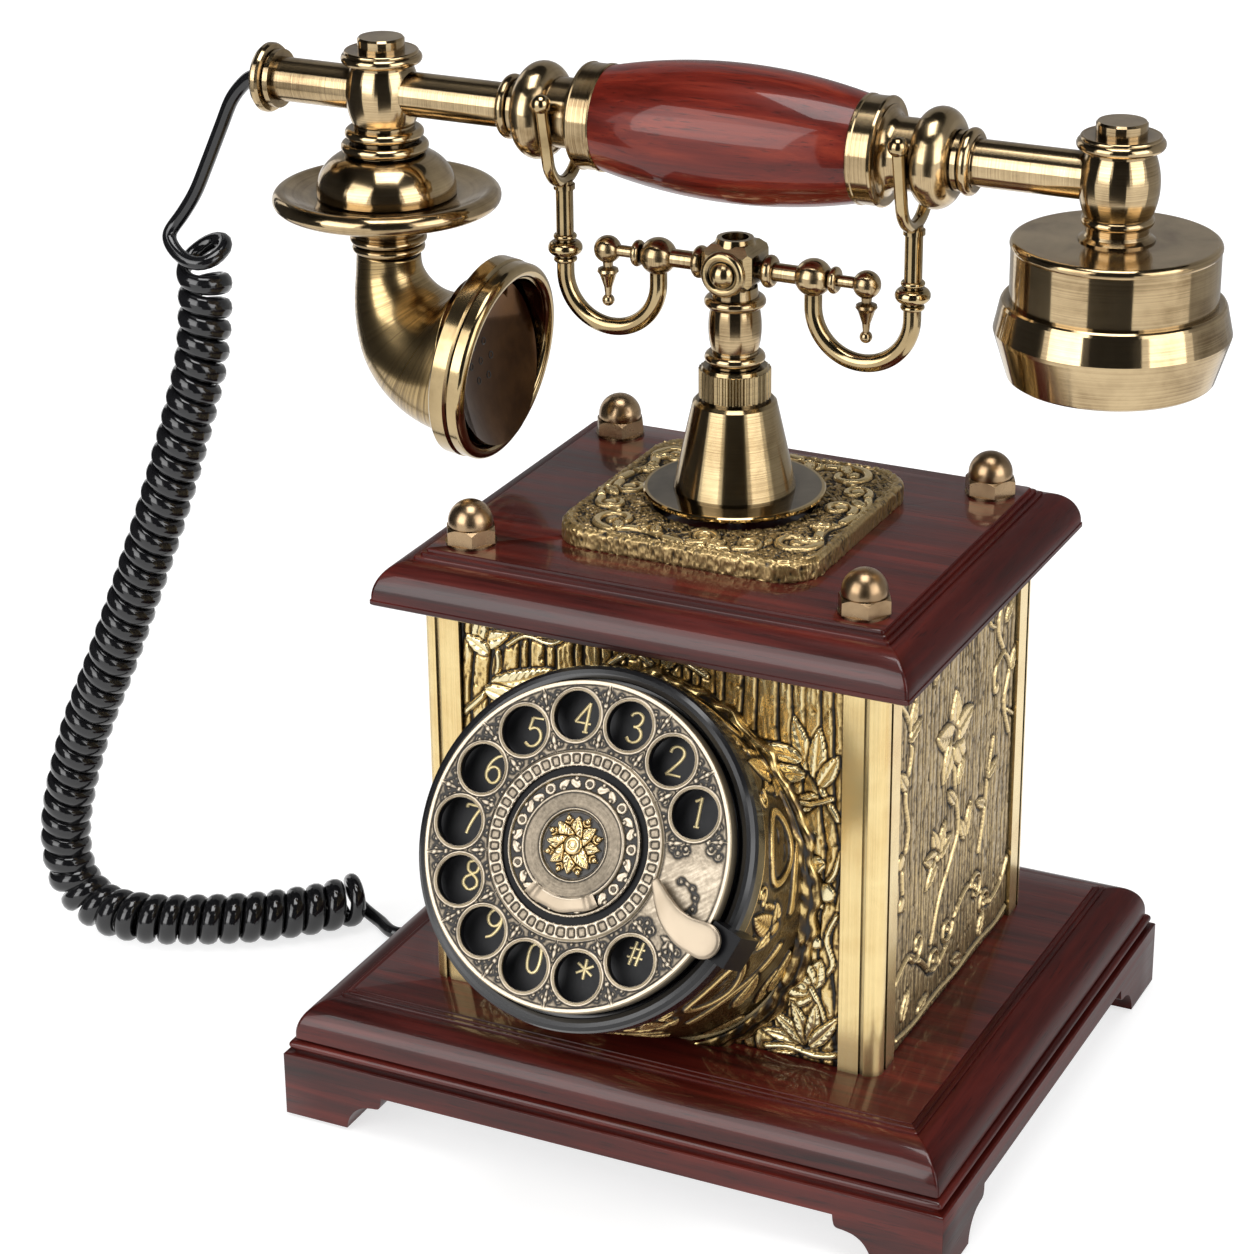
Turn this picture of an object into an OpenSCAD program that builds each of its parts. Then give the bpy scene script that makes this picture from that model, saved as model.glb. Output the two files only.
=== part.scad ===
// Period desk telephone: a moulded wooden plinth carries a square case with
// brass panels, a raked dial on a drum, and a turned stand whose forked arms
// hold a horizontal handset with a horn mouthpiece and a drum earpiece.
// Origin: centre of the plinth on the desk. +Z up, the dial faces -Y.

/* [Plinth] */
// Overall width of the plinth
plinth_w = 210; // [204:1:220]
// Overall depth of the plinth
plinth_d = 186; // [180:1:196]
// Height of the apron with its bracket feet, above the pads
apron_h = 20.7; // [18:0.1:26]
// Height of the moulded deck above the apron
deck_h = 17.3; // [15:0.1:22]
// Wall of the apron
apron_wall = 12; // [9:0.5:14]
// Length of each bracket foot along the edge
foot_len = 21; // [16:0.5:26]
// Height of the open arch between two feet
arch_h = 13; // [8:0.5:14.5]
// Thickness of the felt pads under the feet
pad_t = 1; // [0.5:0.1:2]
// Inset of the flat deck from the plinth edge
deck_inset = 15.9; // [14:0.1:18]
// Thickness of the steel cover under the plinth
cover_t = 1.5; // [1:0.1:2]

/* [Case] */
// Width of the case over the corner posts
case_w = 143.4; // [138:0.2:150]
// Depth of the case over the corner posts
case_d = 119.3; // [114:0.1:126]
// Height of the case between deck and top board
case_h = 122.9; // [116:0.1:130]
// Face width of a corner post
post_w = 12.3; // [10:0.1:15]
// Radius of a corner post's outer edge
post_r = 4.5; // [2:0.1:6]
// Thickness of the brass panels
panel_t = 2.4; // [1.5:0.1:3]
// Depth of the panels behind the post faces
panel_recess = 1.8; // [1:0.1:2.5]
// Wall of the wooden core
core_wall = 8; // [6:0.5:10]
// Distance of the tie rods from the post faces
rod_inset = 11.2; // [10:0.1:13]
// Diameter of the tie rods
rod_dia = 6; // [5:0.5:8]

/* [Top board] */
// Overall width of the top board
top_w = 164.8; // [158:0.2:172]
// Overall depth of the top board
top_d = 140.6; // [134:0.2:148]
// Thickness of the top board
top_h = 15.1; // [12:0.1:18]
// Across-corners size of the nut hexagon
nut_hex = 15.6; // [13:0.1:17]
// Radius of the acorn nut's dome
nut_dome_r = 6.5; // [5:0.1:7]

/* [Stand] */
// Side of the square cast plate
plate_w = 81; // [74:1:88]
// Thickness of the cast plate
plate_h = 6; // [4:0.5:8]
// Radius of the stand's flange
flange_r = 26.4; // [22:0.1:30]
// Thickness of the stand's flange
flange_t = 1.6; // [1:0.1:3]
// Height of the spacer under the flange
flange_rise = 2.4; // [1:0.1:4]
// Radius of the cone at its foot
cone_r = 17.7; // [15:0.1:20]
// Radius of the cone at its top
cone_top_r = 12.1; // [11.5:0.1:13]
// Height of the cone
cone_h = 26.7; // [20:0.1:32]
// Outer radius of the knurled collar
collar_r = 10.4; // [9.8:0.1:11.4]
// Height of the knurled collar
collar_h = 10; // [7:0.1:13]
// Number of knurls on the collar
knurls = 36; // [24:1:48]

/* [Cradle] */
// Upward travel of the cradle when the handset is off
hook_travel = 5; // [3:0.5:7]
// Height of the turned column above the collar
column_h = 23.2; // [20:0.1:28]
// Side of the T-head block
tee_w = 15.4; // [14:0.1:17]
// Height of the T-head block
tee_h = 14.3; // [13:0.1:17]
// Radius of the arm rod
arm_r = 2.65; // [2:0.05:3]
// Distance of the large arm balls from the middle
ball_x = 23.9; // [21:0.1:27]
// Radius of the large arm balls
ball_r = 5.4; // [5:0.1:6]
// Radius of the hook tube
hook_r = 2.53; // [2:0.01:2.7]
// Distance of the fork posts from the middle
fork_x = 53.5; // [51.5:0.1:54.5]
// Height of the handset axis above the arm axis
cradle_rise = 38.5; // [37:0.1:42]

/* [Handset] */
// Length of the wooden grip
grip_len = 77; // [70:1:80]
// Largest diameter of the grip
grip_dia = 38.7; // [34:0.1:42]
// Diameter of the grip's ends and ferrules
ferrule_dia = 30.6; // [28:0.1:32]
// Length of a ferrule
ferrule_len = 7.5; // [6:0.1:8.4]
// Radius of the turned neck that lies in the fork
neck_r = 10; // [8.6:0.1:10.2]
// Distance of the large turned bead from the middle
bead_x = 60.2; // [60:0.1:64]
// Radius of the handset tube
tube_r = 6.45; // [5:0.05:7]
// Distance of the mouthpiece barrel from the middle
mic_x = 112; // [106:0.5:118]
// Distance of the earpiece barrel from the middle
ear_x = 111; // [106:0.5:118]
// Radius of the wide saucer above the horn
saucer_r = 33.7; // [30:0.1:36]
// Radius of the horn's mouth ring
mouth_r = 30.1; // [27:0.1:32]
// Downward tilt of the horn's mouth, in degrees
mouth_tilt = 8; // [4:1:12]
// Radius of the receiver drum
drum_r = 28.3; // [26:0.1:30]
// Radius of the receiver cap at its widest
ear_r = 32; // [31:0.1:35]

/* [Dial] */
// Tilt of the dial's face from upright, in degrees
dial_tilt = 30; // [26:1:33]
// Height above the deck where the dial's axis meets the front panel
dial_rise = 53.1; // [52:0.1:58]
// Distance along the dial's axis from the panel to the wheel's face
dial_reach = 54; // [52:0.1:58]
// Radius of the finger wheel
wheel_r = 45.5; // [44:0.1:45.8]
// Thickness of the finger wheel
wheel_t = 2.6; // [2:0.1:3]
// Radius of the circle of finger holes
hole_ring_r = 35.7; // [35:0.1:36.5]
// Diameter of a finger hole
hole_dia = 13.6; // [12:0.1:14.2]
// Angle of the first hole, in degrees from the right
hole_first = 24.8; // [22:0.1:27]
// Angle between two holes, in degrees
hole_step = 25.93; // [25.5:0.01:26.2]
// Outer radius of the bezel
bezel_r = 50.5; // [50:0.1:52]
// Outer radius of the dial drum
housing_r = 48.6; // [48:0.1:49.6]
// Wall of the dial drum
housing_wall = 3; // [2:0.1:3.5]
// Radius of the dial spindle
spindle_r = 4; // [3:0.1:5]
// Travel of the finger stop when it is pressed
stop_travel = 1.2; // [0.8:0.1:1.3]

/* [Cord] */
// Diameter of the cord's wire
wire_dia = 4.4; // [3.6:0.1:4.6]
// Outer diameter of the curl
curl_dia = 15.6; // [12:0.2:16]

/* [Hidden] */
$fn = 72;

// colours
mahogany = [0.25, 0.06, 0.04];
brass = [0.62, 0.48, 0.28];
dark_brass = [0.36, 0.27, 0.16];
black = [0.06, 0.06, 0.07];
steel = [0.6, 0.6, 0.62];
pewter = [0.6, 0.55, 0.5];

// clearances
eps = 0.01;
run_gap = 0.05;
fit_gap = 0.02;
rest_gap = 0.3;

// levels, from the desk up
apron_z = pad_t + apron_h;
deck_z = apron_z + deck_h;
case_z = deck_z + case_h;
top_z = case_z + top_h;
plate_z = top_z + plate_h;
flange_z = plate_z + flange_rise + flange_t;
cone_z = flange_z + cone_h;
collar_z = cone_z + collar_h;
column_z = collar_z + rest_gap;
tee_z = column_z + column_h;
arm_z = tee_z + 5.6;
axis_z = arm_z + cradle_rise;

// case, measured from its middle
rod_x = case_w / 2 - rod_inset;
rod_y = case_d / 2 - rod_inset;
core_inset = panel_recess + panel_t;
core_w = case_w - 2 * core_inset;
core_d = case_d - 2 * core_inset;
panel_w = case_w - 2 * post_w;
panel_d = case_d - 2 * post_w;
panel_y = case_d / 2 - panel_recess;
rod_hole_r = rod_dia / 2 + 0.2;

// ---------- general helpers ----------

function unit(v) = v / norm(v);

// A quarter of an ellipse from (x0, z1) to (x1, z0), bulging outwards.
function ovolo(x0, z0, x1, z1, n = 10) =
  [for (i = [0 : n]) let (a = 90 * i / n) [x0 - (x0 - x1) * cos(a), z0 + (z1 - z0) * sin(a)]];

// Point on a smooth curve between p1 and p2.
function curve_point(p0, p1, p2, p3, t) =
  0.5 * (2 * p1 + (p2 - p0) * t + (2 * p0 - 5 * p1 + 4 * p2 - p3) * t * t
  + (3 * p1 - p0 - 3 * p2 + p3) * t * t * t);

// A smooth line through the points of a route, k steps between two points.
function smooth_route(p, k) = [
  for (i = [0 : len(p) - 2]) for (j = [0 : k - 1])
    curve_point(p[max(i - 1, 0)], p[i], p[i + 1], p[min(i + 2, len(p) - 1)], j / k),
  p[len(p) - 1]
];

function route_tangents(p) =
  [for (i = [0 : len(p) - 1]) unit(p[min(i + 1, len(p) - 1)] - p[max(i - 1, 0)])];

function straighten(n, t) = unit(n - t * (n * t));

function route_normals(t, first) =
  [for (i = 0, n = straighten(first, t[0]); i < len(t); i = i + 1,
    n = i < len(t) ? straighten(n, t[i]) : n) n];

// One ring of points for each station of a route; r holds a radius for each.
function ring_points(p, r, sides, first) =
  let (t = route_tangents(p), n = route_normals(t, first))
  [for (i = [0 : len(p) - 1]) for (j = [0 : sides - 1])
    let (a = 360 * j / sides) p[i] + r[i] * (n[i] * cos(a) + cross(t[i], n[i]) * sin(a))];

module swept_tube(p, r, sides, first = [0, 1, 0]) {
  rings = len(p);
  skin = [for (i = [0 : rings - 2]) for (j = [0 : sides - 1])
    let (k = (j + 1) % sides)
    [i * sides + j, (i + 1) * sides + j, (i + 1) * sides + k, i * sides + k]];
  start_cap = [[for (j = [0 : sides - 1]) j]];
  end_cap = [[for (j = [sides - 1 : -1 : 0]) (rings - 1) * sides + j]];
  polyhedron(ring_points(p, r, sides, first), concat(skin, start_cap, end_cap));
}

// A pipe with a wall: an outer and an inner skin joined at both ends.
module swept_pipe(p, r, wall, sides, first = [0, 1, 0]) {
  rings = len(p);
  inner = rings * sides;
  outer_skin = [for (i = [0 : rings - 2]) for (j = [0 : sides - 1])
    let (k = (j + 1) % sides)
    [i * sides + j, (i + 1) * sides + j, (i + 1) * sides + k, i * sides + k]];
  inner_skin = [for (f = outer_skin) [for (v = [3 : -1 : 0]) inner + f[v]]];
  start_rim = [for (j = [0 : sides - 1]) let (k = (j + 1) % sides) [j, k, inner + k, inner + j]];
  end_rim = [for (j = [0 : sides - 1]) let (k = (j + 1) % sides, e = (rings - 1) * sides)
    [e + k, e + j, inner + e + j, inner + e + k]];
  polyhedron(
    concat(ring_points(p, r, sides, first), ring_points(p, [for (v = r) v - wall], sides, first)),
    concat(outer_skin, inner_skin, start_rim, end_rim)
  );
}

// A moulding run round a w by d rectangle with mitred corners. The profile
// lists [inset from the edge, height] from the bottom to the top.
module mitred_block(w, d, profile) {
  intersection() {
    rotate([90, 0, 0]) linear_extrude(d + 2, center = true) polygon(two_sided(profile, w));
    rotate([90, 0, 90]) linear_extrude(w + 2, center = true) polygon(two_sided(profile, d));
  }
}

function two_sided(profile, w) = concat(
  [for (p = profile) [w / 2 - p[0], p[1]]],
  [for (i = [len(profile) - 1 : -1 : 0]) [profile[i][0] - w / 2, profile[i][1]]]
);

module at_rods() {
  for (x = [-rod_x, rod_x]) for (y = [-rod_y, rod_y]) translate([x, y, 0]) children();
}

module box(x, y, z0, z1) {
  translate([-x / 2, -y / 2, z0]) cube([x, y, z1 - z0]);
}

// A disc between two heights.
module disc(r, z0, z1) {
  translate([0, 0, z0]) cylinder(r = r, h = z1 - z0);
}

module ring(r_out, r_in, z0, z1) {
  difference() {
    disc(r_out, z0, z1);
    disc(r_in, z0 - 1, z1 + 1);
  }
}

// ---------- plinth ----------

cover_ledge_z = pad_t + arch_h + 0.2 + cover_t;
cover_rebate = 7;
screw_inset = cover_rebate + 2.6;

module foot_pads() {
  color(black)
  for (x = [-1, 1]) for (y = [-1, 1])
    translate([x * (plinth_w / 2 - 6.5), y * (plinth_d / 2 - 6.5), 0]) box(9, 9, 0, pad_t);
}

// The arch cut between two bracket feet, centred, for an edge of length w.
function arch_side(w) = [
  [w / 2 - foot_len, -1], [w / 2 - foot_len, 0.5], [w / 2 - foot_len - 1.2, 4.5],
  [w / 2 - foot_len - 4, 7.6], [w / 2 - foot_len - 7.6, 9], [w / 2 - foot_len - 10.6, 9.2],
  [w / 2 - foot_len - 11.4, 10], [w / 2 - foot_len - 11.6, arch_h]
];

module arch(w, through) {
  right = arch_side(w);
  left = [for (i = [len(right) - 1 : -1 : 0]) [-right[i][0], right[i][1]]];
  rotate([90, 0, 0]) linear_extrude(through, center = true)
    translate([0, pad_t]) polygon(concat(right, left));
}

module plinth_frame() {
  profile = [
    [0, pad_t], [0, apron_z - 2.6], [0.9, apron_z - 2.4], [0.9, apron_z - 1.6],
    [0, apron_z - 1.4], [0, apron_z]
  ];
  color(mahogany)
  difference() {
    mitred_block(plinth_w, plinth_d, profile);
    box(plinth_w - 2 * apron_wall, plinth_d - 2 * apron_wall, 0, apron_z + 1);
    box(plinth_w - 2 * cover_rebate, plinth_d - 2 * cover_rebate, 0, cover_ledge_z);
    arch(plinth_w, plinth_d + 2);
    rotate([0, 0, 90]) arch(plinth_d, plinth_w + 2);
    at_cover_screws() disc(screw_r, 0, cover_ledge_z + 3.5);
    at_grommet() cylinder(r = grommet_r, h = 3 * apron_wall, center = true);
    at_line_jack() cube([jack_w, 3 * apron_wall, jack_h], center = true);
  }
}

module plinth_deck() {
  outer = 0.8;
  profile = concat(
    [[outer, apron_z], [outer, apron_z + 1.2], [2.4, apron_z + 1.6], [2.4, apron_z + 2.6],
     [1.4, apron_z + 3], [1.4, apron_z + 4.2], [2.6, apron_z + 4.4]],
    ovolo(deck_inset - 2.9, apron_z + 5.4, 2.2, deck_z - 1.6),
    [[deck_inset - 2.9, deck_z - 0.8], [deck_inset - 1.5, deck_z - 0.8],
     [deck_inset - 1.5, deck_z - 0.4], [deck_inset - 0.2, deck_z - 0.4], [deck_inset, deck_z]]
  );
  color(mahogany)
  difference() {
    mitred_block(plinth_w, plinth_d, profile);
    translate([wire_hole_x, 0, 0]) disc(wire_hole_r, apron_z - 1, deck_z + 1);
    at_rods() disc(rod_hole_r, apron_z - 1, deck_z + 1);
  }
}

wire_hole_x = 20;
wire_hole_r = 9;

module bottom_cover() {
  color(steel)
  difference() {
    box(plinth_w - 2 * cover_rebate - 0.6, plinth_d - 2 * cover_rebate - 0.6,
      cover_ledge_z - cover_t, cover_ledge_z);
    at_cover_screws() disc(screw_r + 0.1, 0, cover_ledge_z + 1);
    at_line_jack() cube([jack_w + 1, 2 * jack_l + 1, jack_h + 1], center = true);
  }
}

screw_r = 1.4;

module at_cover_screws() {
  for (x = [-1, 1]) for (y = [-1, 1])
    translate([x * (plinth_w / 2 - screw_inset), y * (plinth_d / 2 - 36), 0]) children();
}

module cover_screws() {
  head_h = 1.2;
  under = cover_ledge_z - cover_t;
  color(steel)
  at_cover_screws() {
    difference() {
      disc(1.9, under - head_h, under);
      translate([0, 0, under - head_h]) cube([5, 0.5, 1], center = true);
    }
    disc(screw_r - 0.1, under - 0.5, cover_ledge_z + 3);
  }
}

ballast_w = 100;
ballast_d = 70;
ballast_y = -30;

module ballast_weight() {
  color(steel) translate([0, ballast_y, 0])
    box(ballast_w, ballast_d, cover_ledge_z, apron_z - 1);
}

// The cord's grommet, in the left apron.
grommet_y = 30;
grommet_r = 3.6;
grommet_z = apron_z - 5.5;

module at_grommet() {
  translate([-plinth_w / 2, grommet_y, grommet_z]) rotate([0, 90, 0]) children();
}

module cord_grommet() {
  lip = 1.6;
  color(black)
  at_grommet() difference() {
    union() {
      cylinder(r = grommet_r - fit_gap, h = cover_rebate);
      translate([0, 0, -lip]) cylinder(r1 = grommet_r - 0.2, r2 = grommet_r + 0.9, h = lip);
    }
    translate([0, 0, -lip - 1]) cylinder(r = wire_dia / 2 + fit_gap, h = apron_wall + lip + 2);
  }
}

// The line jack, in the rear apron.
jack_w = 14;
jack_h = 6.4;
jack_l = 16;
jack_x = 60;

module at_line_jack() {
  translate([jack_x, plinth_d / 2, apron_z - 0.4 - jack_h / 2 - 0.6]) children();
}

module line_jack() {
  color(black)
  at_line_jack() difference() {
    translate([-jack_w / 2 + fit_gap, -jack_l, -jack_h / 2 + fit_gap])
      cube([jack_w - 2 * fit_gap, jack_l, jack_h - 2 * fit_gap]);
    translate([-4.8, -12, -2.2]) cube([9.6, 13, 4.4]);
  }
}

// ---------- case ----------

module body_core() {
  block = 2 * (core_wall - 1);
  color(mahogany)
  difference() {
    union() {
      difference() {
        box(core_w, core_d, deck_z, case_z);
        box(core_w - 2 * core_wall, core_d - 2 * core_wall, deck_z - 1, case_z + 1);
      }
      intersection() {
        at_rods() box(block, block, deck_z, case_z);
        box(core_w, core_d, deck_z, case_z);
      }
    }
    at_rods() disc(rod_hole_r, deck_z - 1, case_z + 1);
    at_dial() disc(dial_hole_r, -2 * dial_reach, 0);
  }
}

module post_outline() {
  groove = 1.5;
  band = 6.2;
  difference() {
    union() {
      translate([post_r, post_r]) circle(post_r);
      translate([post_r, 0]) square([post_w - post_r, post_w]);
      translate([0, post_r]) square([post_w, post_w - post_r]);
    }
    translate([post_w - band - groove, -1]) square([groove, 1.9]);
    translate([-1, post_w - band - groove]) square([1.9, groove]);
    translate([core_inset, core_inset]) square(post_w);
  }
}

module corner_posts() {
  color(brass)
  for (x = [0, 1]) for (y = [0, 1]) mirror([x, 0, 0]) mirror([0, y, 0])
    translate([-case_w / 2, -case_d / 2, deck_z]) linear_extrude(case_h) post_outline();
}

module panel(w, face) {
  translate([-w / 2, -face, deck_z]) cube([w, panel_t, case_h]);
}

module front_panel() {
  color(brass)
  difference() {
    panel(panel_w, panel_y);
    at_dial() disc(dial_hole_r, -2 * dial_reach, 0);
  }
}

module rear_panel() {
  color(brass) rotate([0, 0, 180]) panel(panel_w, panel_y);
}

module left_panel() {
  color(brass) rotate([0, 0, -90]) panel(panel_d, case_w / 2 - panel_recess);
}

module right_panel() {
  color(brass) rotate([0, 0, 90]) panel(panel_d, case_w / 2 - panel_recess);
}

module top_board() {
  lip = 12.2;
  profile = concat(
    [[0, case_z], [0, case_z + 1.6]],
    [for (p = ovolo(lip - 2.8, case_z + 1.6, 0.5, top_z - 1.9)) p],
    [[lip - 2.8, top_z - 1.1], [lip - 1.5, top_z - 1.1], [lip - 1.5, top_z - 0.6],
     [lip - 0.2, top_z - 0.6], [lip, top_z]]
  );
  color(mahogany)
  difference() {
    mitred_block(top_w, top_d, profile);
    at_rods() disc(rod_hole_r, case_z - 1, top_z + 1);
    disc(plunger_r + 1, case_z - 1, top_z + 1);
  }
}

module tie_rods() {
  nut_h = 5;
  color(steel)
  at_rods() {
    disc(rod_dia / 2, apron_z - nut_h - 0.5, top_z + nut_bore_h);
    difference() {
      translate([0, 0, apron_z - nut_h]) cylinder(r = rod_dia, h = nut_h, $fn = 6);
      disc(rod_dia / 2 - 0.5, apron_z - nut_h - 1, apron_z + 1);
    }
  }
}

nut_bore_h = 6;

module acorn_nuts() {
  hex_h = 4.6;
  skirt = 0.8;
  color(dark_brass)
  at_rods() difference() {
    union() {
      translate([0, 0, top_z]) cylinder(r = nut_hex / 2 - 0.4, h = skirt);
      intersection() {
        translate([0, 0, top_z + skirt]) cylinder(r = nut_hex / 2, h = hex_h, $fn = 6);
        translate([0, 0, top_z + skirt]) cylinder(r1 = nut_hex / 2 + 3.4, r2 = nut_hex / 2 - 0.9,
          h = hex_h);
      }
      translate([0, 0, top_z + skirt + hex_h - eps]) cylinder(r = nut_dome_r - 0.6, h = 1 + eps);
      translate([0, 0, top_z + skirt + hex_h + 1]) sphere(nut_dome_r);
    }
    disc(rod_dia / 2 + fit_gap, top_z - 1, top_z + nut_bore_h);
  }
}

// ---------- stand ----------

plunger_r = 3;

module ornate_plate() {
  corner = 12;
  edge = 0.8;
  color(brass)
  difference() {
    union() {
      for (s = [[plate_w, plate_w - 2 * corner], [plate_w - 2 * corner, plate_w]])
        box(s[0], s[1], top_z, plate_z);
      for (x = [-1, 1]) for (y = [-1, 1])
        translate([x * (plate_w / 2 - corner), y * (plate_w / 2 - corner), 0])
          disc(corner, top_z, plate_z);
    }
    disc(plunger_r + edge, top_z - 1, plate_z + 1);
  }
}

module stand_flange() {
  hub_r = 20;
  color(dark_brass)
  difference() {
    union() {
      disc(hub_r, plate_z, flange_z - flange_t);
      translate([0, 0, flange_z - flange_t])
        rotate_extrude() polygon([[0, 0], [flange_r - 0.5, 0], [flange_r, 0.5],
          [flange_r, flange_t - 0.4], [flange_r - 0.4, flange_t], [0, flange_t]]);
    }
    disc(plunger_r + 1, plate_z - 1, flange_z + 1);
  }
}

module stand_cone() {
  wall = 2.5;
  color(brass)
  difference() {
    translate([0, 0, flange_z]) rotate_extrude() polygon([
      [0, 0], [cone_r, 0], [cone_r, 0.6], [cone_top_r, cone_h - 0.9],
      [cone_top_r - 0.9, cone_h], [0, cone_h]
    ]);
    translate([0, 0, flange_z - eps])
      cylinder(r1 = cone_r - wall, r2 = stem_r + 0.4, h = cone_h - wall);
    disc(stem_r + run_gap, flange_z, cone_z + 1);
  }
}

stem_r = 6;

module knurled_collar() {
  depth = 0.55;
  points = [for (i = [0 : 4 * knurls - 1])
    let (a = 360 * i / (4 * knurls), r = (i % 4 < 2) ? collar_r : collar_r - depth)
    [r * cos(a), r * sin(a)]];
  band = 0.9;
  color(dark_brass)
  difference() {
    union() {
      disc(collar_r - depth - 0.3, cone_z, cone_z + band + eps);
      translate([0, 0, cone_z + band]) linear_extrude(collar_h - 2 * band) polygon(points);
      translate([0, 0, collar_z - band - eps])
        cylinder(r1 = collar_r - depth - 0.1, r2 = collar_r - depth - 0.6, h = band + eps);
    }
    disc(stem_r + run_gap, cone_z - 1, collar_z + 1);
  }
}

// ---------- cradle ----------

// Height of the switch bracket's shelf below the top board.
shelf_drop = 32;
shelf_t = 2.5;
shelf_z = case_z - shelf_drop;
seat_z = shelf_z + shelf_t + 19;

module plunger_rod() {
  color(steel) {
    disc(plunger_r, shelf_z - 5, tee_z + 2.5);
    ring(6, plunger_r - 0.5, seat_z, seat_z + 1.5);
  }
}

module hook_spring() {
  turns = 5;
  wire_r = 0.6;
  steps = 12;
  coil_r = plunger_r + 1.3;
  low = shelf_z + shelf_t + wire_r;
  high = seat_z - wire_r;
  route = [for (i = [0 : turns * steps])
    let (a = 360 * i / steps)
    [coil_r * cos(a), coil_r * sin(a), low + (high - low) * i / (turns * steps)]];
  color(steel) swept_tube(route, [for (p = route) wire_r], 6, [1, 0, 0]);
}

module hook_switch() {
  cheek_x = 15;
  cheek_t = 2;
  depth = 16;
  color(steel)
  difference() {
    union() {
      for (x = [-1, 1]) translate([x * cheek_x, 0, 0]) box(cheek_t, depth, shelf_z, case_z);
      box(2 * cheek_x, depth, shelf_z, shelf_z + shelf_t);
      translate([cheek_x - 5, 0, 0]) box(9, 10, shelf_z + shelf_t - eps, shelf_z + 14);
    }
    disc(plunger_r + run_gap, shelf_z - 1, shelf_z + shelf_t + 1);
  }
}

module cradle_column() {
  neck_top = 6.4;
  color(brass)
  difference() {
    union() {
      disc(stem_r, cone_z + 1, column_z + eps);
      translate([0, 0, column_z]) rotate_extrude() {
        polygon([[0, 0], [7.2, 0], [7.2, 0.5], [6.6, 4.4], [6.6, 5.4], [6.6, 18], [6, 19],
          [6.8, column_h - 3.4], [neck_top, column_h], [0, column_h]]);
        translate([7.1, 2.2]) circle(1.6);
        translate([5, 0.8]) square([2, 3]);
        translate([7.2, 18.8]) circle(1.6);
        intersection() {
          translate([7.6 - 26, 11.2]) circle(26, $fn = 240);
          translate([0, 4.4]) square([9, 13.6]);
        }
      }
    }
    disc(plunger_r + fit_gap, cone_z, tee_z + 1);
  }
}

module tee_head() {
  boss_r = 6.5;
  hole_r = 3.85;
  boss_h = 1.2;
  mid = tee_z + tee_h / 2;
  body_h = tee_h - boss_h;
  color(dark_brass)
  difference() {
    union() {
      translate([0, 0, tee_z + body_h / 2]) intersection() {
        cube([tee_w, tee_w, body_h], center = true);
        rotate([0, 0, 45]) cube([tee_w * 1.24, tee_w * 1.24, body_h + 1], center = true);
        rotate([45, 0, 0]) cube([tee_w + 1, body_h * 1.26, body_h * 1.26], center = true);
        rotate([0, 45, 0]) cube([body_h * 1.26, tee_w + 1, body_h * 1.26], center = true);
      }
      disc(5.6, tee_z, tee_z + 3);
      translate([0, 0, tee_z + body_h - 1]) cylinder(r1 = 6, r2 = 5.2, h = boss_h + 1);
      for (s = [-1, 1]) translate([0, 0, arm_z]) rotate([90, 0, 0])
        translate([0, 0, s * (tee_w / 2 + 0.6)]) {
          cylinder(r = boss_r - 0.4, h = 2.4, center = true);
          rotate_extrude() translate([boss_r - 1.3, 0]) circle(1.5);
        }
    }
    disc(hole_r, tee_z + tee_h - 4, tee_z + tee_h + 1);
    disc(plunger_r + fit_gap, tee_z - 1, tee_z + 2.5);
    translate([0, 0, arm_z]) rotate([0, 90, 0])
      cylinder(r = arm_r + fit_gap, h = 2 * tee_w, center = true);
    for (s = [-1, 1]) translate([0, s * (tee_w / 2 + 2.3), arm_z]) rotate([90, 0, 0])
      cylinder(r = 4.3, h = 2, center = true);
  }
  color(brass)
  for (s = [-1, 1]) translate([0, s * (tee_w / 2 + 0.2), arm_z]) sphere(4.1);
}

// Round beads threaded on an arm that runs along X: [x, radius, half width].
module arm_bead(x, r, half) {
  translate([x, 0, arm_z]) rotate([0, 90, 0]) {
    rotate_extrude() translate([r - half, 0]) circle(half);
    cylinder(r = r - half, h = 2 * half, center = true);
  }
}

arm_end_x = ball_x + 16;

module arm_side() {
  drop_z = arm_z - 3.2;
  arm_bead(tee_w / 2 + 3, 4.7, 1.7);
  difference() {
    translate([ball_x, 0, arm_z]) sphere(ball_r);
    translate([ball_x, 0, arm_z - ball_r - 2]) cylinder(r = hook_r + fit_gap, h = ball_r + 0.5);
  }
  arm_bead(ball_x + 6.4, 3.85, 1.2);
  translate([ball_x + 3, 0, arm_z]) rotate([0, 90, 0]) cylinder(r = 1.7, h = 13);
  translate([arm_end_x, 0, arm_z]) sphere(4);
  translate([arm_end_x, 0, drop_z]) rotate_extrude() polygon([
    [0, 0], [1.6, 0], [1.4, -1.9], [2.9, -2.6], [3.1, -3.4], [2.4, -4.4], [1.2, -8],
    [0.9, -10.6], [0, -10.6]
  ]);
  translate([arm_end_x, 0, drop_z - 12]) sphere(1.8);
}

module cross_arm() {
  color(brass) {
    translate([0, 0, arm_z]) rotate([0, 90, 0])
      cylinder(r = arm_r, h = 2 * (ball_x - ball_r + 1), center = true);
    arm_side();
    mirror([1, 0, 0]) arm_side();
  }
}

// hook and fork
hook_mid_x = (ball_x + fork_x) / 2;
hook_bend_r = (fork_x - ball_x) / 2;
hook_bend_z = arm_z - 8.2;
fork_r = 1.8;
fork_lean = 12;
fork_drop = 9.8;
fork_bend_z = axis_z - fork_drop;
fork_bend_r = neck_r + rest_gap + fork_r - fork_drop * sin(fork_lean);
fork_arm_len = 17.4;
post_top_z = fork_bend_z - fork_bend_r;

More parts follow.
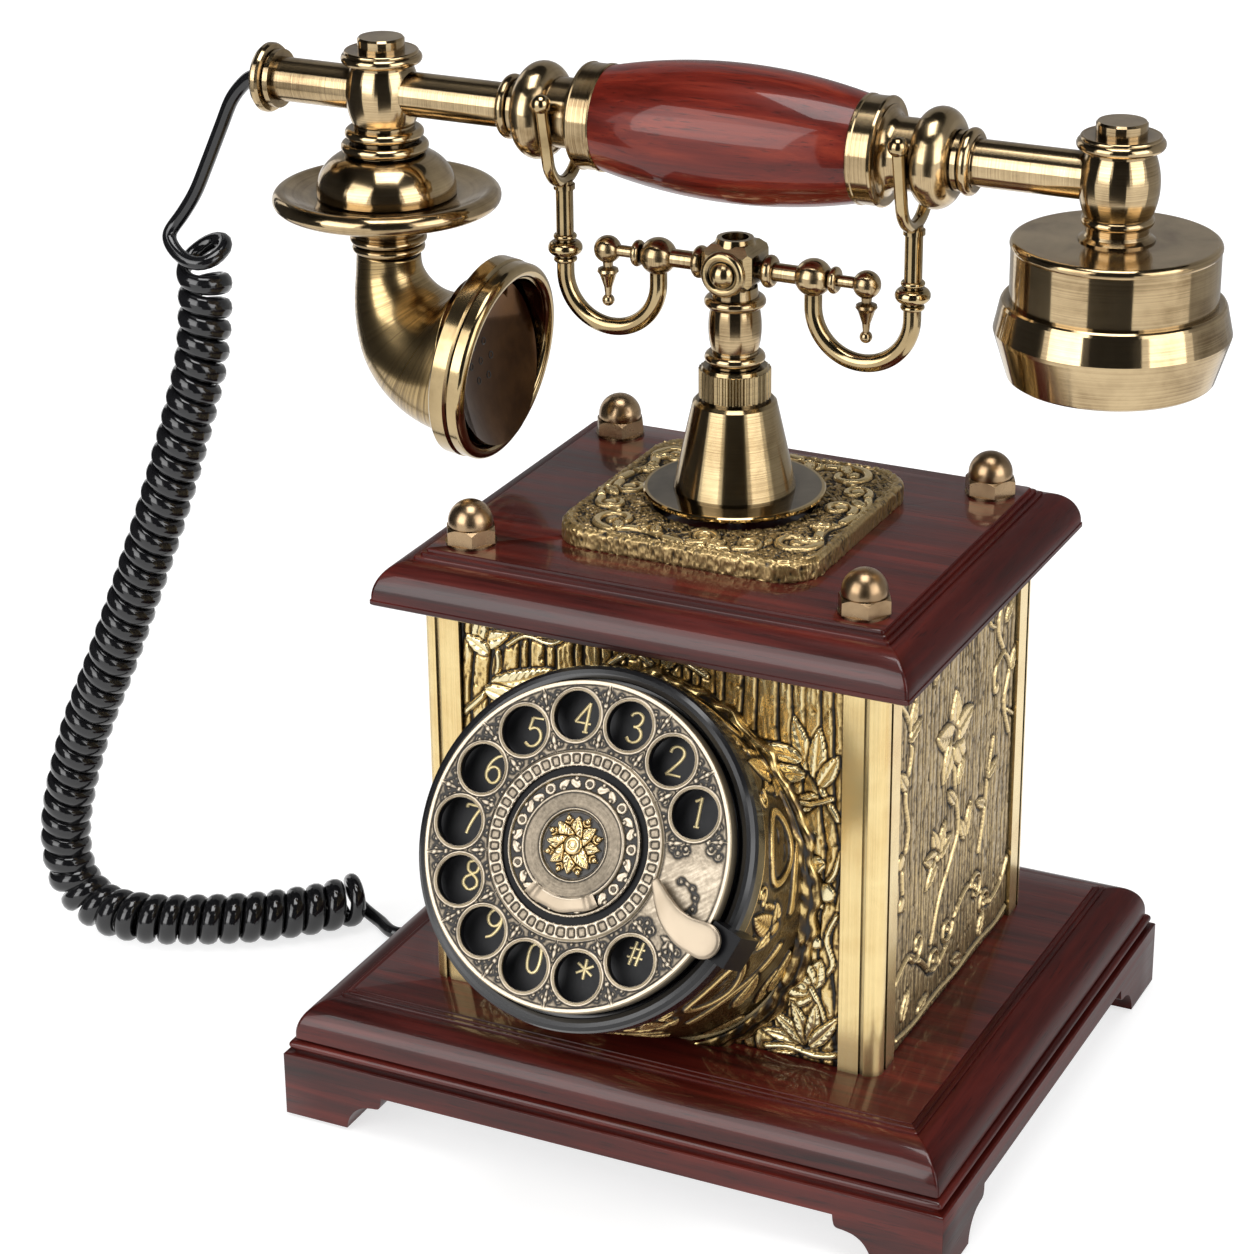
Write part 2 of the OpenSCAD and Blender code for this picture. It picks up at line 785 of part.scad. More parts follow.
module fork_arm() {
  translate([0, 0, fork_bend_z]) rotate([-fork_lean, 0, 0]) translate([0, fork_bend_r, 0]) {
    cylinder(r = fork_r, h = fork_arm_len);
    translate([0, 0, fork_arm_len + 0.6]) sphere(2.8);
  }
}

module hook() {
  bead_z = arm_z - 1.2;
  translate([ball_x, 0, hook_bend_z]) cylinder(r = hook_r, h = arm_z - 1.6 - hook_bend_z);
  translate([hook_mid_x, 0, hook_bend_z]) rotate([-90, 0, 0])
    rotate_extrude(angle = 180) translate([hook_bend_r, 0]) circle(hook_r);
  translate([fork_x, 0, 0]) {
    disc(hook_r, hook_bend_z, post_top_z);
    translate([0, 0, bead_z]) rotate_extrude() {
      translate([2.9, 0]) circle(2.1);
      translate([0, -2.1]) square([2.9, 4.2]);
      translate([2.6, 3.4]) circle(0.8);
      translate([2.6, -3.4]) circle(0.8);
    }
    disc(3.1, post_top_z - 2.4, post_top_z - 1);
    translate([0, 0, fork_bend_z]) rotate([0, 90, 0]) rotate([0, 0, fork_lean - 90])
      rotate_extrude(angle = 180 - 2 * fork_lean) translate([fork_bend_r, 0]) circle(fork_r);
    fork_arm();
    mirror([0, 1, 0]) fork_arm();
  }
}

module hook_right() {
  color(brass) hook();
}

module hook_left() {
  color(brass) mirror([1, 0, 0]) hook();
}

// ---------- handset ----------

tube_bore_r = tube_r + fit_gap;
ferrule_x = grip_len / 2 + ferrule_len;

// Turns a profile of [x, radius] round the handset's axis.
module along_axis() {
  translate([0, 0, axis_z]) rotate([0, 90, 0]) children();
}

module grip() {
  end_r = ferrule_dia / 2 - 0.4;
  top_r = grip_dia / 2;
  sag = top_r - end_r;
  arc_r = (grip_len * grip_len / 4 + sag * sag) / (2 * sag);
  color(mahogany)
  along_axis() difference() {
    rotate_extrude() intersection() {
      translate([top_r - arc_r, 0]) circle(arc_r, $fn = 720);
      translate([0, -grip_len / 2]) square([top_r + 1, grip_len]);
    }
    cylinder(r = tube_bore_r, h = grip_len + 2, center = true);
  }
}

module ferrule() {
  r = ferrule_dia / 2;
  l = ferrule_len;
  rotate_extrude() difference() {
    polygon([[0, 0], [r - 0.3, 0], [r, 0.4], [r, 1.2], [r - 0.3, 1.5], [r - 0.3, l - 1.1],
      [r, l - 0.8], [r - 0.2, l - 0.2], [r - 0.6, l], [0, l]]);
    translate([-1, -1]) square([tube_bore_r + 1, l + 2]);
  }
}

module grip_ferrules() {
  color(brass)
  along_axis() for (s = [0, 1]) mirror([0, 0, s]) translate([0, 0, grip_len / 2]) ferrule();
}

module socket() {
  flare = 3;
  bead_half = 5.5;
  bead_rim = 14;
  x0 = ferrule_x;
  end_x = bead_x + 11.4;
  rotate_extrude() difference() {
    union() {
      difference() {
        translate([0, x0]) square([neck_r + flare, flare + 0.3]);
        translate([neck_r + flare, x0 + flare + 0.3]) circle(flare);
      }
      translate([0, x0]) square([neck_r, bead_x - x0]);
      translate([bead_rim - bead_half, bead_x]) circle(bead_half);
      translate([0, bead_x - bead_half]) square([bead_rim - bead_half, 2 * bead_half]);
      translate([0, bead_x + bead_half]) square([7.4, end_x - bead_x - bead_half]);
      translate([0, bead_x + 6]) square([8.3, 1.4]);
      translate([7.6, bead_x + 9.4]) circle(1.7);
      translate([0, bead_x + 7.8]) square([7.8, 3.2]);
    }
    translate([-1, 0]) square([tube_bore_r + 1, end_x + 1]);
  }
}

module turned_sockets() {
  color(brass)
  along_axis() for (s = [0, 1]) mirror([0, 0, s]) socket();
}

module handset_tube() {
  color(brass)
  along_axis() difference() {
    translate([0, 0, -mic_x + socket_in]) cylinder(r = tube_r, h = mic_x + ear_x - 2 * socket_in);
    cylinder(r = tube_r - 1.5, h = 4 * mic_x, center = true);
  }
}

// How far from a barrel's axis the tube's end is let into the barrel.
socket_in = 7;

module cord_flange() {
  end_x = cord_exit_x;
  color(brass)
  along_axis() mirror([0, 0, 1]) difference() {
    union() {
      translate([0, 0, mic_x + socket_in]) cylinder(r = tube_r, h = end_x - mic_x - socket_in - 2);
      translate([0, 0, end_x - 6]) rotate_extrude() {
        polygon([[0, 0], [8.6, 0], [8.6, 1.6], [7.6, 2], [9.8, 2.6], [10.2, 3.4], [10.2, 4.6],
          [9.4, 5.6], [8, 6], [0, 6]]);
      }
    }
    cylinder(r = wire_dia / 2 + fit_gap, h = 2 * end_x);
  }
}

cord_exit_x = mic_x + 40;

// The upper part of either barrel, from its foot at h_low to the cap, in the
// barrel's own frame with the handset axis at height 0.
module barrel_profile() {
  polygon([[0, -10.5], [8.9, -10.5], [8.9, -9.6], [9.2, -9], [9.2, 8], [8.8, 8.6],
    [10.4, 9], [10.4, 12.2], [6.9, 12.2], [6.9, 15.4], [6.4, 16], [0, 16]]);
  intersection() {
    translate([10.85 - 22, -1]) circle(22, $fn = 240);
    translate([0, -9.6]) square([12, 18]);
  }
  translate([10.3, 9.9]) circle(1.55);
  translate([0, 8.6]) square([10.3, 2.6]);
  translate([10.2, 11.6]) circle(0.7);
}

module barrel_sockets(both) {
  rotate([0, 90, 0]) translate([0, 0, socket_in]) cylinder(r = tube_bore_r, h = 12);
  if (both) rotate([0, -90, 0]) translate([0, 0, socket_in]) cylinder(r = tube_bore_r, h = 12);
}

saucer_top = -18;

module mic_barrel() {
  color(brass)
  translate([-mic_x, 0, axis_z]) difference() {
    rotate_extrude() {
      barrel_profile();
      translate([0, saucer_top]) square([9, 9]);
      translate([10, -12.2]) circle(1.6);
      translate([0, -13.8]) square([10, 3.2]);
      translate([11.3, -16.2]) circle(1.6);
      translate([0, saucer_top]) square([11.3, 3.4]);
    }
    barrel_sockets(true);
    disc(wire_dia, saucer_top - 1, 6);
  }
}

module mic_saucer() {
  rim = -31.2;
  color(brass)
  translate([-mic_x, 0, axis_z]) difference() {
    rotate_extrude() {
      intersection() {
        translate([9.2, -29.5]) circle(11.5);
        translate([0, -30.2]) square([21, 30.2 + saucer_top]);
      }
      translate([0, -30.5]) square([9.2, 30.5 + saucer_top]);
      polygon([[0, -42.4], [10, -42.4], [12, -39.4], [23, -37.2], [25.3, -36], [25.3, -34.8],
        [saucer_r - 1.8, rim - 1.6], [saucer_r - 2, rim + 1.6], [19.6, -30.6], [19.6, -29.5],
        [0, -29.5]]);
      translate([saucer_r - 1.8, rim]) circle(1.8);
      translate([10.2, -44]) circle(1.2);
      translate([9.6, -46.8]) circle(1.2);
      translate([0, elbow_top]) square([9.4, -elbow_top - 41]);
    }
    disc(wire_dia, elbow_top - 1, saucer_top + 1);
  }
}

elbow_top = -48.4;

// The horn's mouth: its centre and direction.
mouth_reach = 36.6;
mouth_drop = 77.4;
mouth_dir = [cos(mouth_tilt), 0, -sin(mouth_tilt)];
mouth_pos = [-mic_x + mouth_reach, 0, axis_z - mouth_drop];
neck_back = 9;

module at_mouth() {
  translate(mouth_pos) rotate([0, 90 + mouth_tilt, 0]) children();
}

module mic_elbow() {
  top = [-mic_x, 0, axis_z + elbow_top];
  end = mouth_pos - mouth_dir * (neck_back + fit_gap);
  route = [
    top, top + [0, 0, -4], top + [0.2, 0, -9], top + [2.2, 0, -14.6], top + [6.6, 0, -20.2],
    top + [12.2, 0, -24.4], top + [18.6, 0, -26.6], end - mouth_dir * 4, end
  ];
  radii = [9.4, 9.9, 11.4, 14, 17.4, 20, 21.8, 22.8, 23.2];
  color(brass) swept_pipe(route, radii, 2, 32);
}

mouth_bore_r = 25.2;

module mouth_ring() {
  color(brass)
  at_mouth() rotate_extrude() difference() {
    union() {
      polygon([[20, -neck_back], [26.6, -neck_back], [27, -8.2], [mouth_r - 0.6, -8],
        [mouth_r, -7.4], [mouth_r, -3.2], [mouth_r - 0.6, -2.7], [mouth_r - 0.9, -2.4],
        [mouth_r - 0.3, -1.8], [mouth_r - 0.3, 0.6], [20, 0.6]]);
      translate([27.7, 0.6]) circle(2.1);
    }
    translate([0, -neck_back + 1.6]) square([mouth_bore_r, 14]);
  }
}

module mic_capsule() {
  r = mouth_bore_r - fit_gap;
  color(dark_brass)
  at_mouth() difference() {
    translate([0, 0, -neck_back + 1.6]) cylinder(r = r, h = 3.4);
    translate([0, 0, 18.8]) sphere(25, $fn = 96);
    for (a = [0 : 60 : 300]) rotate([0, 0, a]) translate([6, 0, -9]) cylinder(r = 1, h = 5);
    translate([0, 0, -9]) cylinder(r = 1, h = 5);
  }
}

module ear_barrel() {
  foot = -16.3;
  color(brass)
  translate([ear_x, 0, axis_z]) difference() {
    rotate_extrude() {
      barrel_profile();
      translate([0, foot]) square([8.5, 8]);
      translate([8.3, -10.9]) circle(1.5);
      polygon([[0, foot], [10.3, foot], [10.3, foot + 0.5], [9, foot + 1.4],
        [8.5, foot + 2.2], [0, foot + 2.2]]);
    }
    mirror([1, 0, 0]) barrel_sockets(false);
    disc(wire_dia, foot - 1, 6);
  }
}

drum_top = -16.3;
drum_h = 16.6;
shell_wall = 1.8;

module receiver_shell() {
  r = drum_r;
  color(brass)
  translate([ear_x, 0, axis_z + drum_top]) difference() {
    rotate_extrude() {
      square_top = 1.5;
      translate([0, -drum_h]) square([r - 0.3, drum_h - square_top]);
      translate([0, -square_top - eps]) square([r - square_top, square_top + eps]);
      translate([r - square_top, -square_top]) circle(square_top);
      translate([0, -drum_h]) square([r - 0.9, 2]);
    }
    disc(r - shell_wall - 0.4, -drum_h - 1, -shell_wall);
    disc(wire_dia, -drum_h, 1);
  }
}

cap_h = 22.2;

module receiver_ring() {
  lip_r = ear_r - 1.6;
  flare = 8.6;
  low_r = ear_r - 4;
  color(brass)
  translate([ear_x, 0, axis_z + drum_top - drum_h]) difference() {
    rotate_extrude() polygon([
      [0, -cap_h], [low_r - 0.8, -cap_h], [low_r, -cap_h + 0.6], [ear_r - 0.3, -flare - 1.2],
      [ear_r, -flare], [lip_r, -1.2], [lip_r - 0.4, -0.4], [lip_r - 1, 0], [0, 0]
    ]);
    disc(capsule_r, -cap_h + 3, 1);
    translate([0, 0, -cap_h - 1]) cylinder(r1 = low_r - 3, r2 = low_r - 12, h = 2.6);
    for (a = [0 : 60 : 300]) rotate([0, 0, a]) translate([7, 0, -cap_h - 1])
      cylinder(r = 1.6, h = 5);
    translate([0, 0, -cap_h - 1]) cylinder(r = 1.6, h = 5);
  }
}

capsule_r = 24;
capsule_h = 7;
capsule_boss_h = 12;

module receiver_capsule() {
  color(dark_brass)
  translate([ear_x, 0, axis_z + drum_top - drum_h - cap_h + 3]) {
    cylinder(r = capsule_r - 0.2, h = capsule_h);
    cylinder(r = capsule_r - 7, h = capsule_boss_h);
  }
}

// ---------- dial ----------

// Everything on the dial is drawn with the wheel's face at z = 0, the
// outward normal along z and the right-hand side along x.
dial_hole_r = 40;
dial_y = -panel_y - dial_reach * cos(dial_tilt);
dial_z = deck_z + dial_rise + dial_reach * sin(dial_tilt);
housing_front = -12.5;
frame_z = -15;
frame_t = 1.5;
plate_front = -7;

module at_dial() {
  translate([0, dial_y, dial_z]) rotate([90 - dial_tilt, 0, 0]) children();
}

module dial_housing() {
  inner_r = housing_r - housing_wall;
  far = dial_reach + bezel_r;
  flange = 3.4;
  color(brass)
  difference() {
    union() {
      intersection() {
        at_dial() disc(housing_r, -far, housing_front);
        translate([-bezel_r, -4 * bezel_r - panel_y, deck_z])
          cube([2 * bezel_r, 4 * bezel_r, 4 * bezel_r]);
      }
      for (s = [[flange, 2], [flange / 2, 4.2]]) intersection() {
        at_dial() disc(housing_r + s[0], -far, housing_front);
        translate([-2 * bezel_r, -panel_y - s[1], deck_z])
          cube([4 * bezel_r, s[1], 4 * bezel_r]);
      }
    }
    at_dial() disc(inner_r, frame_z - frame_t, 1);
    at_dial() disc(inner_r - 3, frame_z - frame_t - 3 - eps, 1);
    intersection() {
      at_dial() disc(inner_r, -far - 1, frame_z - frame_t - 3);
      translate([-bezel_r, -4 * bezel_r, deck_z + housing_wall])
        cube([2 * bezel_r, 5 * bezel_r, 4 * bezel_r]);
    }
  }
}

bezel_in_r = wheel_r - 0.8;
bezel_h = 7.8;

module dial_bezel() {
  lip = wheel_r + 0.9;
  front = housing_front + bezel_h;
  color(black)
  at_dial() difference() {
    rotate_extrude() polygon([
      [bezel_in_r, housing_front], [bezel_r - 0.4, housing_front], [bezel_r, housing_front + 0.5],
      [bezel_r, front - 2.4], [bezel_r - 0.5, front - 1], [bezel_r - 1.5, front - 0.2],
      [bezel_r - 2.6, front], [lip + 0.3, front - 0.3], [lip, front - 0.7],
      [lip, housing_front + 4.6], [bezel_in_r + 0.6, housing_front + 4.6],
      [bezel_in_r, housing_front + 4]
    ]);
    at_stop() bracket_block(0);
  }
}

module number_plate() {
  skirt = 2;
  r = bezel_in_r - fit_gap;
  color(black)
  at_dial() difference() {
    disc(r, frame_z, plate_front);
    disc(r - skirt, frame_z - 1, plate_front - skirt);
    disc(bush_r + fit_gap, frame_z, plate_front + 1);
  }
}

bush_r = 6.5;

module dial_frame() {
  color(steel)
  at_dial() ring(housing_r - housing_wall - fit_gap, bush_r + fit_gap, frame_z - frame_t, frame_z);
}

module dial_bush() {
  color(brass)
  at_dial() difference() {
    union() {
      disc(bush_r, -28, -5.2);
      disc(bush_r + 3, frame_z, frame_z + 2);
    }
    disc(spindle_r + run_gap, -29, 0);
  }
}

module spring_barrel() {
  color(brass) at_dial() ring(17, bush_r + fit_gap, -27, frame_z - frame_t);
}

module finger_wheel() {
  color(pewter)
  at_dial() difference() {
    rotate_extrude() polygon([
      [spindle_tip_r + fit_gap, -wheel_t], [wheel_r - 1.6, -wheel_t], [wheel_r - 1.6, -4.6],
      [wheel_r - 0.3, -4.6], [wheel_r, -4.2], [wheel_r, -0.7], [wheel_r - 0.7, 0],
      [ring_out, 0], [ring_out - 0.2, ring_h], [ring_in + 0.2, ring_h], [ring_in, 0],
      [spindle_tip_r + fit_gap, 0]
    ]);
    for (k = [0 : 11]) rotate([0, 0, hole_first + k * hole_step])
      translate([hole_ring_r, 0, -wheel_t - 1]) cylinder(r = hole_dia / 2, h = wheel_t + 2);
  }
}

spindle_tip_r = 3;
ring_out = 25.7;
ring_in = 21.7;
ring_h = 0.8;
medal_r = 19.5;

module dial_medallion() {
  color(pewter)
  at_dial() rotate_extrude() polygon([
    [0, 0], [medal_r, 0], [medal_r, 1.2], [medal_r - 0.6, 1.7], [medal_r - 0.8, 1.1],
    [15.4, 1.1], [15, 1.9], [14.2, 1.9], [9.7, 1.6], [9.4, 0.8], [0, 0.8]
  ]);
}

module dial_spindle() {
  color(steel)
  at_dial() union() {
    disc(spindle_r, -34, -wheel_t - 1.5);
    disc(spindle_r + 3, -wheel_t - 1.5, -wheel_t);
    disc(spindle_tip_r, -wheel_t, 0);
  }
}

module pulse_cam() {
  cam_r = 17;
  color(brass)
  at_dial() difference() {
    ring(cam_r, spindle_r + fit_gap, -31.5, -29);
    for (k = [0 : 11]) rotate([0, 0, 24 * k]) translate([cam_r, 0, -32])
      cylinder(r = 1.5, h = 4);
  }
}

// The finger stop and the bracket that carries it.
stop_angle = -20.5;
stop_r = 49;
stop_under = 2.6;
stop_t = 1.8;
stem_bore_z = -9.4;

module at_stop() {
  rotate([0, 0, stop_angle]) translate([stop_r, 0, 0]) children();
}

module bracket_block(grow) {
  low = wheel_r + 0.5 - stop_r;
  translate([low - grow, -4.8 - grow, housing_front]) cube([9 + 2 * grow, 9.6 + 2 * grow, 13.7]);
}

module stop_bracket() {
  color(black)
  at_dial() at_stop() difference() {
    bracket_block(-fit_gap);
    translate([0, 0, stem_bore_z]) cylinder(r = stop_stem_r + run_gap, h = 20);
  }
}

stop_stem_r = 2;

// The curved finger: [distance along x, along y, radius] of its outline's circles.
finger_line = [[27, -5.2, 1.4], [29.4, -8.8, 2.1], [32.8, -12.8, 3], [37.2, -15.9, 4],
  [44, -17.2, 4.8]];

module finger_stop() {
  color([0.86, 0.8, 0.74])
  at_dial() {
    translate([0, 0, stop_under]) linear_extrude(stop_t) {
      for (i = [0 : len(finger_line) - 2]) hull() for (p = [finger_line[i], finger_line[i + 1]])
        translate([p[0], p[1]]) circle(p[2], $fn = 32);
    }
    at_stop() disc(stop_stem_r, stem_bore_z + stop_travel + 0.3, stop_under + eps);
  }
}

// ---------- works inside the case ----------

board_rise = 16;
board_h = 60;
gong_drop = 60;

module circuit_board() {
  board_z = deck_z + board_rise;
  side = 2 * (rod_y - core_wall);
  color([0.1, 0.35, 0.15])
  translate([core_w / 2 - core_wall - 6, 0, 0]) {
    box(1.6, side, board_z, board_z + board_h);
    translate([-3.8, -20, 0]) box(6, 14, board_z + 20, board_z + 40);
    translate([-2.8, 18, 0]) box(4, 20, board_z + 10, board_z + 26);
  }
  color(steel)
  for (y = [-1, 1]) for (z = [6, board_h - 6])
    translate([core_w / 2 - core_wall - 5.2, y * (side / 2 - 6), board_z + z])
      rotate([0, 90, 0]) cylinder(r = 2, h = 5.2);
}

module ringer_unit() {
  color(steel)
  translate([0, core_d / 2 - core_wall, case_z - gong_drop]) rotate([90, 0, 0]) {
    difference() {
      cylinder(r1 = 24, r2 = 20, h = 14);
      translate([0, 0, 4]) cylinder(r = 17, h = 14);
    }
    translate([0, 0, 3]) cylinder(r = 6, h = 10);
  }
}

// ---------- cords ----------

wire_r = wire_dia / 2;
// From the handset's flange down to the curl.
lead_route = [
  [-152, 0, 291.3], [-154, 0, 291.3], [-158, 0, 290.2], [-163, 0, 286], [-168, 0, 278],
  [-173, 0, 267], [-178, 0, 256], [-182, 0, 247], [-183, 0, 241], [-182.4, 0, 237],
  [-182.4, 0, 234.2]
];
// Along the middle of the curl, down to the desk and along it.
curl_route = [
  [-177, 0, 234], [-177, -1, 218], [-178, -3, 202], [-181, -5, 188], [-187, -8, 166],
  [-194, -10, 145], [-203, -12, 121], [-212, -14, 98], [-223, -15, 73], [-230, -17, 50],
  [-233, -18, 32], [-230, -19, 17], [-219, -20, 8.6], [-204, -20, 8], [-188, -14, 8],
  [-172, -5, 8], [-158, 6, 8.2], [-150, 14, 8.6], [-144, 22, 9]
];
// From the curl along the desk and up into the grommet.
tail_route = [
  [-142.4, 24, 3.5], [-138.4, 21, 3], [-134.4, 18, 2.5], [-130, 16, 2.4], [-126, 16.6, 2.4],
  [-121, 20, 3.4], [-116.5, 24.5, 6.6], [-113, 28, 11], [-110, 29.8, 15], [-108.4, 30, 16.2],
  [-106.6, 30, 16.2]
];

module cord_top_lead() {
  route = smooth_route(lead_route, 2);
  color(black) swept_tube(route, [for (p = route) wire_r], 10);
}

module cord_curl() {
  route = smooth_route(curl_route, 1);
  color(black) swept_tube(route, [for (p = route) curl_dia / 2], 12);
}

module cord_bottom_lead() {
  route = smooth_route(tail_route, 2);
  color(black) swept_tube(route, [for (p = route) wire_r], 10, [0, 0, 1]);
}

foot_pads();
plinth_frame();
plinth_deck();
bottom_cover();
cover_screws();
ballast_weight();
body_core();
corner_posts();
front_panel();
rear_panel();
left_panel();
right_panel();
top_board();
tie_rods();
acorn_nuts();
ornate_plate();
stand_flange();
stand_cone();
knurled_collar();
hook_spring();
hook_switch();
circuit_board();
ringer_unit();
line_jack();
cord_grommet();
dial_housing();
dial_bezel();
number_plate();
dial_frame();
dial_bush();
spring_barrel();
stop_bracket();
finger_wheel();
dial_medallion();
dial_spindle();
pulse_cam();
finger_stop();
plunger_rod();
cradle_column();
tee_head();
cross_arm();
hook_left();
hook_right();
grip();
grip_ferrules();
turned_sockets();
handset_tube();
cord_flange();
mic_barrel();
mic_saucer();
mic_elbow();
mouth_ring();
mic_capsule();
ear_barrel();
receiver_shell();
receiver_ring();
receiver_capsule();
cord_top_lead();
cord_curl();
cord_bottom_lead();
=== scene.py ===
"""Looks of the desk telephone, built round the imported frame.

The camera, the cord and the studio are given in metres. The shapes of the
pieces are given in millimetres, and mesh_object turns them into metres. All
are in the CAD's frame: origin under the plinth's centre, +Z up, the dial
towards -Y.
"""

import math

import bmesh
import bpy
import numpy as np
from mathutils import Matrix, Vector


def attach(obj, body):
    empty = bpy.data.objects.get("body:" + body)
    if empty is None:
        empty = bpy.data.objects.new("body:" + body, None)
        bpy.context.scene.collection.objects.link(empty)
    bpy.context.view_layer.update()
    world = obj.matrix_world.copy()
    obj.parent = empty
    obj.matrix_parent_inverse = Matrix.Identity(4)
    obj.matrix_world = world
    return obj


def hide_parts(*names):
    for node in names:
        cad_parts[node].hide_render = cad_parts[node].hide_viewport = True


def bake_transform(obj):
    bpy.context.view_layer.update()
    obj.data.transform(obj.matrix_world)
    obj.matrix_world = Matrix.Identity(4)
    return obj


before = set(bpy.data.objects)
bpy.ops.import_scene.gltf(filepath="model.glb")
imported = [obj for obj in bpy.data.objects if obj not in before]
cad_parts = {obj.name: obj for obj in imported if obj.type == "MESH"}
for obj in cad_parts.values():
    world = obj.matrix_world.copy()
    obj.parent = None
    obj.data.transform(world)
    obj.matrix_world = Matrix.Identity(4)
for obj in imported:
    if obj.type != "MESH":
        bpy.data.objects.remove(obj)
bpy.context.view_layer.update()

MM = 0.001
TAU = 2 * math.pi
rng = np.random.default_rng(7)


# ---------------------------------------------------------------- meshes

def mesh_object(name, points_mm, faces, materials, body, sharp=35.0, face_slots=None,
                attributes=None):
    """A smooth-shaded mesh piece on a body, from points in mm and faces of any size."""
    mesh = bpy.data.meshes.new(name)
    points = np.asarray(points_mm, float) * MM
    mesh.from_pydata(points.tolist(), [], faces)
    mesh.validate()
    for material in materials:
        mesh.materials.append(material)
    if face_slots is not None:
        mesh.polygons.foreach_set("material_index", np.asarray(face_slots, np.int32))
    for key, values in (attributes or {}).items():
        layer = mesh.attributes.new(key, "FLOAT", "POINT")
        layer.data.foreach_set("value", np.asarray(values, np.float32))
    mesh.shade_smooth()
    if sharp is not None:
        mesh.set_sharp_from_angle(angle=math.radians(sharp))
    piece = bpy.data.objects.new(name, mesh)
    bpy.context.scene.collection.objects.link(piece)
    if body:
        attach(piece, body)
    return piece


def grid_faces(rows, columns, wrap=False, flip=False, offset=0):
    """Quads of a rows by columns grid of points; wrap joins the last column to the first."""
    faces = []
    last = columns if wrap else columns - 1
    for i in range(rows - 1):
        for j in range(last):
            k = (j + 1) % columns
            face = [i * columns + j, i * columns + k, (i + 1) * columns + k, (i + 1) * columns + j]
            if flip:
                face.reverse()
            faces.append([offset + v for v in face])
    return faces


def catmull(points, steps):
    """A smooth line through points, with steps stations between two of them."""
    p = [np.asarray(v, float) for v in points]
    line = []
    for i in range(len(p) - 1):
        p0, p1, p2, p3 = p[max(i - 1, 0)], p[i], p[i + 1], p[min(i + 2, len(p) - 1)]
        for j in range(steps):
            t = j / steps
            line.append(0.5 * (2 * p1 + (p2 - p0) * t + (2 * p0 - 5 * p1 + 4 * p2 - p3) * t * t
                               + (3 * p1 - p0 - 3 * p2 + p3) * t ** 3))
    line.append(p[-1])
    return np.array(line)


def parallel_frames(line, first):
    """Tangents and two normals along a line, carried along without twist."""
    tangents = np.gradient(line, axis=0)
    tangents /= np.linalg.norm(tangents, axis=1)[:, None]
    normal = np.asarray(first, float)
    normals = []
    for t in tangents:
        normal = normal - t * normal.dot(t)
        normal /= np.linalg.norm(normal)
        normals.append(normal)
    normals = np.array(normals)
    return tangents, normals, np.cross(tangents, normals)


def end_caps(rows, columns):
    """The faces that close the first and the last ring of a wrapped grid."""
    return [list(range(columns))[::-1], [(rows - 1) * columns + j for j in range(columns)]]


def tube_mesh(line, radius, sides, first):
    """Points and faces of a closed tube round a line; radius may be a number or one a station."""
    _, n, b = parallel_frames(line, first)
    radius = np.broadcast_to(np.asarray(radius, float), (len(line),))
    angle = np.arange(sides) * TAU / sides
    ring = (n[:, None, :] * np.cos(angle)[None, :, None]
            + b[:, None, :] * np.sin(angle)[None, :, None])
    points = (line[:, None, :] + ring * radius[:, None, None]).reshape(-1, 3)
    return points, grid_faces(len(line), sides, wrap=True) + end_caps(len(line), sides)


def polar(r, a):
    """The point at radius r and angle a, in radians."""
    return r * math.cos(a), r * math.sin(a)


def rotated(x, y, a):
    """A point turned about the origin by a radians."""
    return x * math.cos(a) - y * math.sin(a), x * math.sin(a) + y * math.cos(a)


# ---------------------------------------------------------------- camera

SENSOR_MM, LENS_MM = 36, 99.61
CAMERA_AT = (0.38344, -0.85114, 0.55244)
CAMERA_YAW, CAMERA_PITCH, CAMERA_ROLL = (math.radians(a) for a in (26.186, 23.718, -0.63))


def make_camera():
    """The photograph's viewpoint, from the front right and above."""
    level, drop = math.cos(CAMERA_PITCH), math.sin(CAMERA_PITCH)
    forward = Vector((-math.sin(CAMERA_YAW) * level, math.cos(CAMERA_YAW) * level, -drop))
    right = forward.cross(Vector((0, 0, 1))).normalized()
    up = right.cross(forward)
    lean, rise = math.cos(CAMERA_ROLL), math.sin(CAMERA_ROLL)
    right, up = right * lean + up * rise, up * lean - right * rise
    data = bpy.data.cameras.new("photo_view")
    data.sensor_width, data.lens = SENSOR_MM, LENS_MM
    data.clip_start, data.clip_end = 0.05, 30
    camera = bpy.data.objects.new("photo_view", data)
    bpy.context.scene.collection.objects.link(camera)
    turn = Matrix((right, up, -forward)).transposed().to_4x4()
    camera.matrix_world = Matrix.Translation(CAMERA_AT) @ turn
    bpy.context.scene.camera = camera


make_camera()


# ---------------------------------------------------------------- materials

